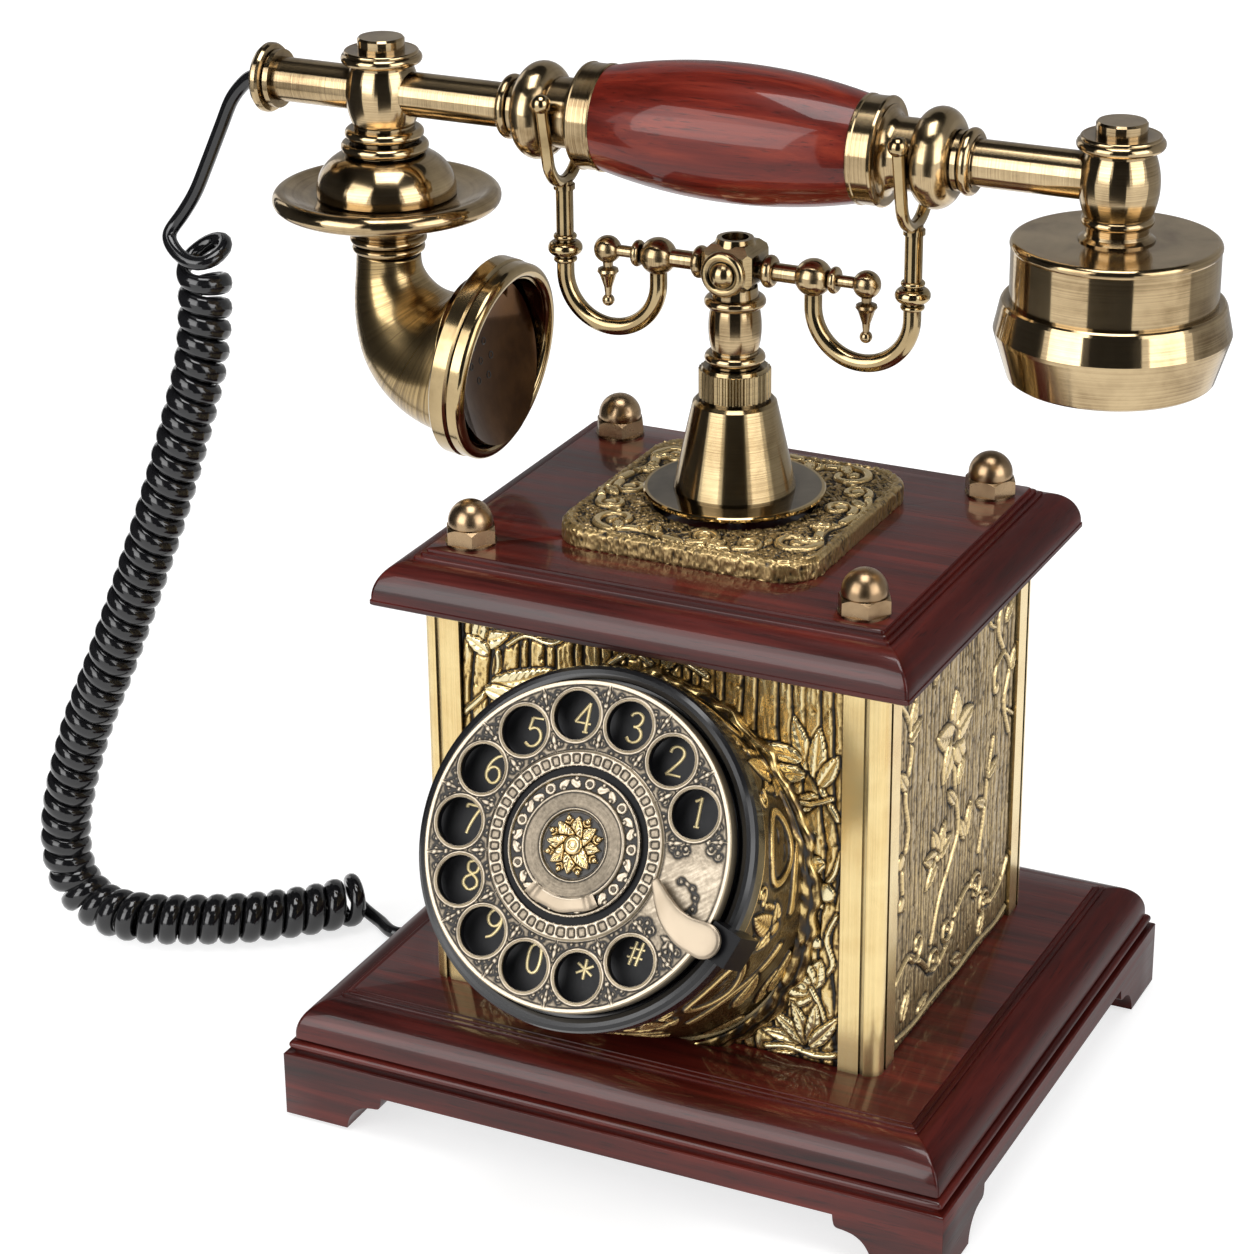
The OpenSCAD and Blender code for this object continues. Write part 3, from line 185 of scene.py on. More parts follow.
class Nodes:
    """A node tree that is built by calls. Most calls add a node and return its outputs."""

    def __init__(self, tree):
        self.tree = tree
        tree.nodes.clear()

    def put(self, socket, value):
        if isinstance(value, bpy.types.NodeSocket):
            self.tree.links.new(value, socket)
        else:
            socket.default_value = value

    def add(self, kind, inputs=None, **settings):
        node = self.tree.nodes.new("ShaderNode" + kind)
        for key, value in settings.items():
            setattr(node, key, value)
        for key, value in (inputs or {}).items():
            self.put(node.inputs[key], value)
        return node.outputs

    def math(self, operation, a, b=0.0, clamp=False):
        return self.add("Math", {0: a, 1: b}, operation=operation, use_clamp=clamp)[0]

    def blend(self, a, b, share):
        """share of a and the rest of b."""
        return self.math("ADD", self.math("MULTIPLY", a, share),
                         self.math("MULTIPLY", b, 1 - share))

    def shift(self, level, noise, amount):
        """level, moved up and down by noise."""
        return self.math("ADD", level,
                         self.math("MULTIPLY", self.math("SUBTRACT", noise, 0.5), amount))

    def span(self, value, low, high, out_low=0.0, out_high=1.0):
        """Maps low..high to out_low..out_high, clamped."""
        return self.add("MapRange", {"Value": value, "From Min": low, "From Max": high,
                                     "To Min": out_low, "To Max": out_high})["Result"]

    def seen(self, path):
        """1 on rays that show a surface to the camera, straight or mirrored, and 0 on others."""
        return self.math("MAXIMUM", path["Is Camera Ray"],
                         self.math("MAXIMUM", path["Is Glossy Ray"], path["Is Transmission Ray"]))


class Shader(Nodes):
    """One node material round a principled shader."""

    def __init__(self, name):
        self.material = bpy.data.materials.new(name)
        self.material.use_nodes = True
        super().__init__(self.material.node_tree)
        self.output = self.tree.nodes.new("ShaderNodeOutputMaterial")
        self.bsdf = self.tree.nodes.new("ShaderNodeBsdfPrincipled")
        self.put(self.output.inputs[0], self.bsdf.outputs[0])
        self.object_coords = self.add("TexCoord")["Object"]

    def set(self, **inputs):
        for key, value in inputs.items():
            self.put(self.bsdf.inputs[key.replace("_", " ")], value)

    def stretched(self, axis, along, across):
        """Object coordinates scaled by along on one axis and by across on the others."""
        scale = [across] * 3
        if axis:
            scale["XYZ".index(axis)] = along
        return self.add("Mapping", {"Vector": self.object_coords, "Scale": scale})[0]

    def noise(self, vector, scale, detail=4.0, roughness=0.55, distortion=0.0):
        return self.add("TexNoise", {"Vector": vector, "Scale": scale, "Detail": detail,
                                     "Roughness": roughness, "Distortion": distortion})["Fac"]

    def ramp(self, factor, stops):
        node = self.tree.nodes.new("ShaderNodeValToRGB")
        self.put(node.inputs[0], factor)
        elements = node.color_ramp.elements
        while len(elements) < len(stops):
            elements.new(0.5)
        for element, (place, colour) in zip(elements, stops):
            element.position = place
            element.color = (*colour, 1)
        return node.outputs[0]

    def mix(self, factor, a, b):
        """Colour a, with factor of colour b over it."""
        node = self.tree.nodes.new("ShaderNodeMix")
        node.data_type = "RGBA"
        self.put(node.inputs[0], factor)
        for index, value in ((6, a), (7, b)):
            self.put(node.inputs[index], value if isinstance(value, bpy.types.NodeSocket)
                     else (*value, 1))
        return node.outputs[2]

    def bump(self, height, strength, distance_mm):
        return self.add("Bump", {"Height": height, "Strength": strength,
                                 "Distance": distance_mm * MM})[0]


def wood(name, grain, dark, middle, light, gloss, coat, specular):
    """Lacquered mahogany; grain is the axis that the grain runs along."""
    s = Shader(name)
    fibres = s.noise(s.stretched(grain, 14.0, 260.0), 1.0, 6.0, 0.6, 0.4)
    bands = s.noise(s.stretched(grain, 4.0, 70.0), 1.0, 3.0, 0.5, 1.2)
    pores = s.noise(s.stretched(grain, 90.0, 1500.0), 1.0, 2.0, 0.5)
    colour = s.ramp(s.blend(fibres, bands, 0.62), [(0.34, dark), (0.5, middle), (0.66, light)])
    pore_mask = s.span(pores, 0.60, 0.72)
    colour = s.mix(s.math("MULTIPLY", pore_mask, 0.55), colour, [c * 0.35 for c in dark])
    height = s.math("SUBTRACT", s.math("MULTIPLY", fibres, 0.5), pore_mask)
    s.set(Base_Color=colour, Roughness=s.span(fibres, 0.3, 0.7, 0.30, 0.42),
          Normal=s.bump(height, 0.18, 0.12))
    s.set(Coat_Weight=coat, Coat_Roughness=gloss, IOR=1.5, Specular_IOR_Level=specular)
    return s.material


# The first colour darkens brass hollows and joints: painted shade, also meant as stain. The second
# is polished brass.
SHADE_AND_STAIN, POLISHED = (0.035, 0.024, 0.012), (0.62, 0.45, 0.21)


def brass(name, along, dark, light, rough=(0.13, 0.22), patina_and_shade=0.35, coat=0.3, brushing=0.0,
          metal=1.0, bend=None, lip=None):
    """Brushed, lacquered brass, its hollows and joints darkened by ambient occlusion: painted
    shade, also meant as stain. The brushing runs round the axis `along`.

    bend is a bent pipe's centre (x, z) in metres, and the brushing runs round the pipe; lip is
    the radius, in metres from the Z axis, where polished brass starts.
    """
    s = Shader(name)
    if brushing:
        s.set(Tangent=s.add("Tangent", direction_type="RADIAL", axis=along)[0],
              Anisotropic=brushing, Anisotropic_Rotation=0.25)
    x, y, z = s.add("SeparateXYZ", {"Vector": s.object_coords})
    if bend:
        fan = s.math("ARCTAN2", s.math("SUBTRACT", z, bend[1]), s.math("SUBTRACT", x, bend[0]))
        strokes = s.add("CombineXYZ", {"X": s.math("MULTIPLY", fan, 45.0),
                                       "Y": s.math("MULTIPLY", y, 14.0)})[0]
        brushed = s.noise(strokes, 1.0, 4.0, 0.7)
    else:
        brushed = s.noise(s.stretched(along, 2400.0, 10.0), 1.0, 3.0, 0.6)
    blotch = s.noise(s.object_coords, 55.0, 4.0, 0.6, 0.3)
    cloud = s.noise(s.object_coords, 14.0, 2.0, 0.5)
    tone = s.blend(brushed, blotch, 0.75 if bend else 0.40)
    middle = [(a + 2 * b) / 3 for a, b in zip(dark, light)]
    colour = s.ramp(tone, [(0.34, dark), (0.50, middle), (0.62, light)])
    # painted shade: the colour darkens where ambient occlusion finds hollows and joints, and this
    # also stands for stain
    hollow = s.add("AmbientOcclusion", {"Distance": 3.5 * MM}, samples=6)["AO"]
    shade_and_stain = s.math("MULTIPLY", s.span(hollow, 0.35, 0.85, 1.0, 0.0), patina_and_shade * 2.2, clamp=True)
    shade_and_stain = s.math("MULTIPLY", shade_and_stain, s.span(cloud, 0.3, 0.55, 0.75, 1.0))
    colour = s.mix(shade_and_stain, colour, SHADE_AND_STAIN)
    if lip:
        radius = s.math("SQRT", s.math("ADD", s.math("MULTIPLY", x, x), s.math("MULTIPLY", y, y)))
        colour = s.mix(s.span(radius, lip - 0.1 * MM, lip + 0.1 * MM), colour, POLISHED)
    s.set(Base_Color=colour, Metallic=metal,
          Roughness=s.span(tone, 0.3, 0.7, rough[1], rough[0]),
          Normal=s.bump(brushed, 0.06, 0.02))
    s.set(Coat_Weight=coat, Coat_Roughness=0.05)
    return s.material


def relief_brass(name, dark, middle, light, rough):
    """Cast brass whose hollows are stained black; reads the height stored in the mesh."""
    s = Shader(name)
    height = s.add("Attribute", attribute_name="relief")["Fac"]
    grain = s.noise(s.object_coords, 900.0, 3.0, 0.6)
    cloud = s.noise(s.object_coords, 45.0, 3.0, 0.6)
    level = s.shift(s.shift(height, grain, 0.35), cloud, 0.30)
    colour = s.ramp(level, [(0.20, (0.012, 0.009, 0.006)), (0.38, dark), (0.56, middle),
                            (0.80, light)])
    s.set(Base_Color=colour, Metallic=s.span(level, 0.1, 0.5, 0.35, 0.85),
          Roughness=s.span(level, 0.2, 0.8, rough[1], rough[0]),
          Normal=s.bump(grain, 0.25, 0.06))
    s.set(Coat_Weight=0.25, Coat_Roughness=0.12)
    return s.material


def enamel(name, colour, rough, speckle=0.10, coat=0.0, specular=0.5):
    """Paint or moulded plastic with a fine texture."""
    s = Shader(name)
    fine = s.noise(s.object_coords, 1600.0, 3.0, 0.6)
    soft = s.noise(s.object_coords, 40.0, 3.0, 0.5)
    tone = s.blend(fine, soft, 0.5)
    shade = s.ramp(tone, [(0.3, [c * 0.75 for c in colour]), (0.7, [c * 1.25 for c in colour])])
    s.set(Base_Color=shade, Roughness=s.span(tone, 0.3, 0.7, rough * 0.85, rough * 1.2),
          Normal=s.bump(fine, speckle, 0.04))
    s.set(Coat_Weight=coat, Coat_Roughness=0.08, Specular_IOR_Level=specular)
    return s.material


# wood: name, grain, dark, middle, light, coat roughness, coat, specular
wood_x = wood("mahogany_x", "X", (0.020, 0.0028, 0.0022), (0.068, 0.0068, 0.0045),
              (0.135, 0.0145, 0.0085), 0.07, 0.60, 0.25)
# the same mahogany, darker and less glossy, for the left and right faces: painted shade
wood_y_shaded = wood("mahogany_y_shaded", "Y", (0.020, 0.0028, 0.0022), (0.046, 0.0048, 0.0034),
              (0.088, 0.0098, 0.0062), 0.12, 0.10, 0.10)
wood_grip = wood("mahogany_grip", "X", (0.050, 0.004, 0.002), (0.135, 0.010, 0.004),
                 (0.245, 0.027, 0.009), 0.05, 0.65, 0.2)
# brass: name, brushing axis, dark, light, roughness from light to dark, patina and painted shade in
# hollows, coat
BRASS_DARK, BRASS_LIGHT, BRUSHING = (0.25, 0.162, 0.074), (0.67, 0.505, 0.285), 0.9
brass_x = brass("brass_x", "X", BRASS_DARK, BRASS_LIGHT, brushing=BRUSHING)
brass_z = brass("brass_z", "Z", BRASS_DARK, BRASS_LIGHT, (0.10, 0.17), brushing=BRUSHING)
brass_plain = brass("brass_plain", None, (0.28, 0.19, 0.085), (0.60, 0.45, 0.235), (0.10, 0.18))
brass_horn = brass("brass_horn", None, (0.15, 0.092, 0.034), (0.60, 0.43, 0.20), (0.17, 0.30),
                   bend=(-0.078, 0.245))
bronze = brass("bronze", "Z", (0.25, 0.165, 0.070), (0.58, 0.44, 0.235), brushing=BRUSHING)
bronze_dark = brass("bronze_dark", "Z", (0.100, 0.080, 0.055), (0.27, 0.22, 0.155), (0.05, 0.10),
                    lip=0.0252)
gold_satin = brass("gold_satin", "X", (0.82, 0.57, 0.235), (1.0, 0.79, 0.39), (0.19, 0.29), 0.45,
                   metal=0.85)
bronze_satin = brass("bronze_satin", None, (0.22, 0.135, 0.068), (0.56, 0.39, 0.225),
                     (0.24, 0.32), 0.4, 0.1)
steel = brass("steel", "Z", (0.30, 0.30, 0.31), (0.55, 0.55, 0.56), (0.30, 0.45), 0.2, 0.0)
capsule_brown = brass("capsule_brown", None, (0.020, 0.006, 0.002), (0.12, 0.054, 0.017),
                      (0.08, 0.14), 0.2, 0.15)
# enamel: name, colour, roughness, speckle, coat
black_satin = enamel("black_satin", (0.008, 0.008, 0.009), 0.17, 0.02, 0.2)
black_gloss = enamel("black_gloss", (0.004, 0.004, 0.005), 0.30, 0.02, specular=0.14)
black_matt = enamel("black_matt", (0.010, 0.010, 0.012), 0.55, 0.2)
cord_black = enamel("cord_black", (0.007, 0.007, 0.008), 0.13, 0.02, 0.6)
card_grey = enamel("card_grey", (0.34, 0.34, 0.34), 0.8)
felt = enamel("felt", (0.02, 0.02, 0.02), 0.9, 0.5)
board = enamel("board", (0.02, 0.10, 0.04), 0.4)


# ---------------------------------------------------------------- cord

WIRE_R, CURL_R, TURNS, PER_TURN, CORD_SIDES = 0.0022, 0.0061, 50, 24, 12
CORD_EXIT = (-0.152, 0, 0.2913)
CORD_LEAD = [CORD_EXIT, (-0.154, 0, 0.2913), (-0.158, 0, 0.2895), (-0.1635, 0, 0.2835),
             (-0.168, 0, 0.2745), (-0.1735, 0, 0.263), (-0.1785, 0, 0.253),
             (-0.1835, -0.0003, 0.2455), (-0.1868, -0.0013, 0.2410), (-0.1876, -0.0035, 0.2375)]
CORD_CURL = [(-0.177, 0, 0.234), (-0.177, -0.001, 0.218), (-0.178, -0.003, 0.202),
             (-0.181, -0.005, 0.188), (-0.187, -0.008, 0.166), (-0.194, -0.010, 0.145),
             (-0.203, -0.012, 0.121), (-0.212, -0.014, 0.098), (-0.223, -0.015, 0.073),
             (-0.230, -0.017, 0.050), (-0.233, -0.018, 0.032), (-0.230, -0.019, 0.017),
             (-0.219, -0.020, 0.0092), (-0.204, -0.020, 0.0086), (-0.188, -0.014, 0.0086),
             (-0.172, -0.005, 0.0086), (-0.158, 0.006, 0.0088), (-0.150, 0.014, 0.0092),
             (-0.144, 0.022, 0.0096)]
CORD_TAIL = [(-0.138, 0.021, 0.0026), (-0.134, 0.018, 0.0025), (-0.130, 0.016, 0.0024),
             (-0.126, 0.0166, 0.0024), (-0.121, 0.020, 0.0034), (-0.1165, 0.0245, 0.0066),
             (-0.113, 0.028, 0.011), (-0.110, 0.0298, 0.015), (-0.1084, 0.030, 0.0162),
             (-0.1066, 0.030, 0.0162)]


def curl_helix():
    """The turns' centreline and outward directions, and the length of one pitch."""
    spine = catmull(CORD_CURL, 40)
    run = np.concatenate([[0], np.cumsum(np.linalg.norm(np.diff(spine, axis=0), axis=1))])
    count = TURNS * PER_TURN
    centre = np.stack([np.interp(np.linspace(0, run[-1], count + 1), run, spine[:, k])
                       for k in range(3)], 1)
    _, normal, side = parallel_frames(centre, (-1, 0, 0))
    turn = np.arange(count + 1) / PER_TURN
    angle = -TAU * turn
    swell = 1 + 0.20 * np.exp(-(turn / 0.9) ** 2) + 0.14 * np.exp(-((TURNS - turn) / 0.9) ** 2)
    outward = normal * np.cos(angle)[:, None] + side * np.sin(angle)[:, None]
    helix = centre + CURL_R * swell[:, None] * outward
    # the first loop stands up at the back
    back = (1 + (helix[:, 1] - centre[:, 1]) / CURL_R) / 2
    helix[:, 2] += 0.011 * np.exp(-(turn / 1.1) ** 2) * back
    return helix, outward, run[-1] / TURNS


def make_cord():
    """The handset's cord: a straight lead, a left-hand curl, and a lead along the desk."""
    helix, outward, pitch = curl_helix()
    first, last = 4, len(helix) - 4
    upper = catmull(CORD_LEAD + [tuple(helix[first]), tuple(helix[first + 1])], 6)[:-7]
    lower = catmull([tuple(helix[last - 1]), tuple(helix[last])] + CORD_TAIL, 6)[7:]
    line = np.concatenate([upper, helix[first:last + 1], lower])
    start, end = len(upper), len(upper) + last + 1 - first
    station = np.arange(len(line))
    # eases the two joins of lead and curl
    ease = np.exp(-((station - start + 4) / 9) ** 2) + np.exp(-((station - end - 2) / 7) ** 2)
    for _ in range(18):
        line[1:-1] += ease[1:-1, None] * (line[:-2] - 2 * line[1:-1] + line[2:]) / 4
    tangents = np.gradient(line, axis=0)
    tangents /= np.linalg.norm(tangents, axis=1)[:, None]
    across = np.empty_like(line)
    across[start:end] = outward[first:last + 1]
    for i in list(range(start, len(line))) + list(range(start - 1, -1, -1)):
        if not start <= i < end:
            across[i] = across[i + 1] if i < start else across[i - 1]
        across[i] -= tangents[i] * across[i].dot(tangents[i])
        across[i] /= np.linalg.norm(across[i])
    # the turns press each other flat
    flat = np.clip((station - start - 6) / 26, 0, 1) * np.clip((end - 6 - station) / 26, 0, 1)
    half_out, half_along = WIRE_R + 0.0001 * flat, WIRE_R + (pitch * 0.49 - WIRE_R) * flat
    theta = np.arange(CORD_SIDES) * TAU / CORD_SIDES
    along = np.cross(tangents, across)
    points = (line[:, None, :]
              + across[:, None, :] * (np.cos(theta)[None, :] * half_out[:, None])[..., None]
              + along[:, None, :] * (np.sin(theta)[None, :] * half_along[:, None])[..., None])
    faces = grid_faces(len(line), CORD_SIDES, wrap=True) + end_caps(len(line), CORD_SIDES)
    piece = mesh_object("handset_cord", points.reshape(-1, 3) / MM, faces, [cord_black], None, None)
    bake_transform(piece)
    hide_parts("cord_top_lead", "cord_curl", "cord_bottom_lead")


make_cord()


# ---------------------------------------------------------------- stage and light

AMBIENT = 0.5
WHITE = (1, 1, 1, 1)


def make_world():
    """Plain white where it is seen, and dimmer where it only lights."""
    world = bpy.data.worlds.new("studio")
    bpy.context.scene.world = world
    world.use_nodes = True
    s = Nodes(world.node_tree)
    strength = s.span(s.seen(s.add("LightPath")), 0.0, 1.0, AMBIENT, 1.0)
    background = s.add("Background", {"Color": WHITE, "Strength": strength})
    s.add("OutputWorld", {0: background[0]})
    bpy.context.scene.view_settings.view_transform = "Standard"


def make_floor():
    """A white floor that keeps the shadow near the object and runs out into plain white."""
    rings, spokes, reach = 24, 48, 6.0
    points = [(0, 0, 0)]
    for i in range(1, rings + 1):
        r = reach * (i / rings) ** 2
        points += [(*polar(r, TAU * j / spokes), 0) for j in range(spokes)]
    faces = [[0, 1 + j, 1 + (j + 1) % spokes] for j in range(spokes)]
    faces += grid_faces(rings, spokes, wrap=True, flip=True, offset=1)
    mesh = bpy.data.meshes.new("studio_floor")
    mesh.from_pydata(points, [], faces)
    floor = bpy.data.objects.new("studio_floor", mesh)
    floor.location.z = -0.1 * MM
    bpy.context.scene.collection.objects.link(floor)
    s = Shader("studio_floor")
    mottle = s.noise(s.object_coords, 30.0, 3.0)
    s.set(Base_Color=s.ramp(mottle, [(0.3, (0.86, 0.86, 0.86)), (0.7, (0.90, 0.90, 0.90))]),
          Roughness=s.span(mottle, 0.3, 0.7, 0.5, 0.6), Specular_IOR_Level=0.2)
    path = s.add("LightPath")
    distance = s.add("VectorMath", {0: s.object_coords}, operation="LENGTH")["Value"]
    share = s.math("MULTIPLY", s.seen(path), s.span(distance, 0.12, 0.36, 0.45, 1.0))
    glow = s.add("Emission", {"Color": WHITE, "Strength": 1.0})[0]
    lift = s.add("Emission", {"Color": WHITE,
                              "Strength": s.math("MULTIPLY", path["Is Camera Ray"], 0.22)})[0]
    mixed = s.add("MixShader", {0: share, 1: s.bsdf.outputs[0], 2: glow})[0]
    s.put(s.output.inputs[0], s.add("AddShader", {0: mixed, 1: lift})[0])
    mesh.materials.append(s.material)


SOFTBOX_AIM = Vector((0, 0, 0.16))


def softbox(name, azimuth, height, distance, width, tall, radiance):
    """An area lamp of the given radiance; azimuth 0 is the front, 90 the right."""
    lamp = bpy.data.lights.new(name, "AREA")
    lamp.shape = "RECTANGLE"
    lamp.size, lamp.size_y = width, tall
    lamp.energy = radiance * math.pi * width * tall
    holder = bpy.data.objects.new(name, lamp)
    bpy.context.scene.collection.objects.link(holder)
    a = math.radians(azimuth)
    place = Vector((math.sin(a) * distance, -math.cos(a) * distance, height))
    holder.location = place
    holder.rotation_euler = (SOFTBOX_AIM - place).to_track_quat("-Z", "Y").to_euler()


def card(name, points, faces, material):
    """A studio card that is seen only in reflections."""
    mesh = bpy.data.meshes.new(name)
    mesh.from_pydata(points, [], faces)
    mesh.materials.append(material)
    sheet = bpy.data.objects.new(name, mesh)
    bpy.context.scene.collection.objects.link(sheet)
    sheet.visible_camera = sheet.visible_diffuse = sheet.visible_shadow = False


def flag(name, start, end, low, high, distance, material):
    """A curved card from one azimuth to another."""
    steps = max(2, int((end - start) / 5))
    points = []
    for k in range(steps + 1):
        a = math.radians(start + (end - start) * k / steps)
        points += [(math.sin(a) * distance, -math.cos(a) * distance, z) for z in (low, high)]
    card(name, points, [[2 * k, 2 * k + 2, 2 * k + 3, 2 * k + 1] for k in range(steps)], material)


make_world()
make_floor()
softbox("softbox_left", -24, 0.80, 1.4, 1.0, 1.2, 2.6)
softbox("softbox_right", 74, 0.75, 1.4, 1.0, 1.2, 2.3)
softbox("softbox_top", 25, 1.70, 0.25, 0.8, 0.9, 5.0)
card("flag_ceiling", [(-3, -3, 2.1), (3, -3, 2.1), (3, 3, 2.1), (-3, 3, 2.1)], [(0, 1, 2, 3)],
     black_matt)
for prefix, low, high, distance, edges in (
        ("flag_", 0.12, 2.1, 1.75, ((0, 49), (100, 232), (250, 312))),
        ("flag_low_", 0.0, 0.34, 0.55, ((2, 47), (102, 226), (252, 314)))):
    for side, (start, end) in zip(("front", "back", "left"), edges):
        flag(prefix + side, start, end, low, high, distance,
             card_grey if side == "back" else black_matt)


# ---------------------------------------------------------------- mouldings

PLINTH_HALF, TOP_HALF = (105.0, 93.0), (82.4, 70.3)
APRON_TOP, DECK_TOP, CASE_TOP = 21.7, 39.0, 161.9


def arc(cx, cz, r, start, end, steps):
    """Points of an arc in a profile, angles in degrees from the inset axis."""
    return [(cx + r * math.cos(math.radians(start + (end - start) * i / steps)),
             cz + r * math.sin(math.radians(start + (end - start) * i / steps)))
            for i in range(steps + 1)]


QUARTERS = ((1, -1), (1, 1), (-1, 1), (-1, -1))


def moulding(name, half, profile):
    """A mitred moulding round a rectangle. The profile lists (inset, z) from the bottom up."""
    corner, cells = 1.0, 24
    points = []

    def rounded(quarter, inset, degrees):
        """A point on a rounded corner of the rectangle."""
        a = math.radians(degrees)
        ends = zip(QUARTERS[quarter % 4], half, (math.cos(a), math.sin(a)))
        return [sign * (size - inset - corner) + corner * part for sign, size, part in ends]

    for inset, z in profile:
        for quarter in range(4):
            bend = [rounded(quarter, inset, quarter * 90 - 90 + 90 * k / 4) for k in range(5)]
            points += [(x, y, z) for x, y in bend]
            (x0, y0), (x1, y1) = bend[-1], rounded(quarter + 1, inset, quarter * 90)
            points += [(x0 + (x1 - x0) * (k / cells), y0 + (y1 - y0) * (k / cells), z)
                       for k in range(1, cells)]
    per_side = 4 + cells
    columns = 4 * per_side
    faces = grid_faces(len(profile), columns, wrap=True) + end_caps(len(profile), columns)[::-1]
    # the grain turns by a quarter at each mitre, and the left and right faces take the darker
    # mahogany copy, painted shade
    side_slot = [int((j // per_side % 2 == 0) == (j % per_side >= 2)) for j in range(columns)]
    return mesh_object(name, points, faces, [wood_x, wood_y_shaded], "base", 28.0,
                       side_slot * (len(profile) - 1) + [0, 0])


def make_mouldings():
    """The plinth's stepped deck and the board under the stand."""
    deck = [(4.2, 21.7), (2.4, 21.7), (2.4, 22.6)]
    deck += arc(2.4, 23.9, 1.35, 270, 90, 8)
    deck += [(2.9, 25.25), (3.5, 25.3), (3.5, 25.9), (2.6, 26.0), (2.6, 27.0)]
    deck += arc(13.0, 27.0, 10.4, 180, 90, 16)[1:]
    deck += [(13.0, 37.9), (13.15, 38.05), (14.3, 38.1), (14.35, 38.5), (14.5, 38.6),
             (15.8, 38.65), (15.85, 38.95), (16.0, 39.0)]
    piece = moulding("deck_moulding", PLINTH_HALF, deck)
    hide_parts("plinth_deck")
    board_edge = [(6.0, 161.9), (0.5, 161.9), (0.0, 162.3), (0.0, 163.4), (0.35, 163.6)]
    board_edge += [(9.5 - 9.2 * math.cos(math.radians(a)), 163.7 + 10.6 * math.sin(math.radians(a)))
                   for a in range(0, 91, 6)]
    board_edge += [(9.5, 174.9), (9.65, 175.1), (11.0, 175.15), (11.0, 175.9), (11.2, 176.1),
                   (12.2, 176.15), (12.3, 176.8), (12.6, 177.0)]
    piece = moulding("board_moulding", TOP_HALF, board_edge)
    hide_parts("top_board")


def foot_line(w):
    """Half of the arch between two feet: (distance from the middle, height) inwards."""
    foot = w / 2 - 21
    return catmull([(foot, 1.0), (foot - 0.2, 2.6), (foot - 1.0, 4.8), (foot - 2.8, 7.3),
                    (foot - 5.4, 9.0), (foot - 8.2, 9.7), (foot - 10.8, 10.1),
                    (foot - 11.6, 11.6), (foot - 11.9, 14.0)], 4)


def make_apron():
    """The apron with its four bracket feet, one mitred board a side."""
    depth, top, foot, arch = 12.0, APRON_TOP, 1.0, 14.0
    long, short = 2 * PLINTH_HALF[0], 2 * PLINTH_HALF[1]
    points, faces, slots = [], [], []
    for side in range(4):
        w, d = (short, long) if side % 2 else (long, short)
        curve = foot_line(w)
        inner = np.linspace(curve[-1][0], -curve[-1][0], 24)[1:-1]
        columns = [(w / 2, foot), (w / 2 - depth - 0.5, foot)]
        columns += [tuple(p) for p in curve] + [(x, arch) for x in inner]
        columns += [(-p[0], p[1]) for p in curve[::-1]]
        columns += [(-w / 2 + depth + 0.5, foot), (-w / 2, foot)]
        base = len(points)
        for x, low in columns:
            section = ((0.45, top), (0.0, top - 0.4), (0.0, top - 9.0), (0.0, low), (depth, low),
                       (depth, top))
            for inset, z in section:
                mitred = math.copysign(w / 2 - inset, x) if abs(x) > w / 2 - 1 else x
                points.append((*rotated(mitred, -d / 2 + inset, math.radians(90 * side)),
                               max(z, low)))
        height = len(section)
        for i in range(len(columns) - 1):
            for j in range(height):
                k = (j + 1) % height
                faces.append([base + i * height + j, base + (i + 1) * height + j,
                              base + (i + 1) * height + k, base + i * height + k])
                # the left and right boards take the darker mahogany copy: painted shade
                slots.append(side % 2)
    piece = mesh_object("apron", points, faces, [wood_x, wood_y_shaded], "base", 35.0, slots)
    piece.modifiers.new("weld", "WELD").merge_threshold = 1e-6
    bevel = piece.modifiers.new("bevel", "BEVEL")
    bevel.width, bevel.segments = 0.5 * MM, 2
    bevel.limit_method, bevel.angle_limit = "ANGLE", math.radians(35)
    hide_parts("plinth_frame")


make_mouldings()
make_apron()


# ---------------------------------------------------------------- carried-over nodes

def dress(material, *nodes):
    """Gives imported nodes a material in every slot."""
    for node in nodes:
        slots = bpy.data.objects[node].data.materials
        if not slots:
            slots.append(material)
        for index in range(len(slots)):
            slots[index] = material


dress(felt, "foot_pads")
dress(steel, "bottom_cover", "cover_screws", "ballast_weight", "tie_rods", "hook_spring",
      "hook_switch", "plunger_rod", "spring_barrel", "dial_spindle", "dial_bush", "pulse_cam",
      "receiver_capsule")
dress(wood_x, "body_core")
dress(board, "circuit_board")
dress(black_matt, "ringer_unit", "line_jack", "cord_grommet", "number_plate", "dial_frame")
dress(black_satin, "dial_bezel")
dress(black_gloss, "stop_bracket")
dress(brass_z, "cradle_column", "mic_barrel", "ear_barrel", "receiver_shell", "receiver_ring")
dress(bronze, "stand_cone", "knurled_collar", "tee_head")
dress(bronze_dark, "stand_flange")
dress(brass_x, "grip_ferrules", "turned_sockets", "handset_tube", "cord_flange", "cross_arm")
dress(brass_plain, "hook_left", "hook_right", "mouth_ring")
dress(bronze_satin, "acorn_nuts")
dress(wood_grip, "grip")
dress(gold_satin, "corner_posts", "front_panel", "rear_panel", "left_panel", "right_panel",
      "dial_medallion", "dial_housing")
dress(black_gloss, "finger_wheel")


# ---------------------------------------------------------------- relief

NOISE_TABLE = rng.random((256, 256))


def noise2(x, y, layer=0):
    """Smooth noise from 0 to 1 over a plane, one cell a unit."""
    i, j = np.floor(x).astype(int), np.floor(y).astype(int)
    fx, fy = x - i, y - j
    fx, fy = fx * fx * (3 - 2 * fx), fy * fy * (3 - 2 * fy)
    i, j = i + 17 * layer, j + 31 * layer

    def at(a, b):
        return NOISE_TABLE[(i + a) & 255, (j + b) & 255]

    low = at(0, 0) * (1 - fx) + at(1, 0) * fx
    high = at(0, 1) * (1 - fx) + at(1, 1) * fx
    return low * (1 - fy) + high * fy


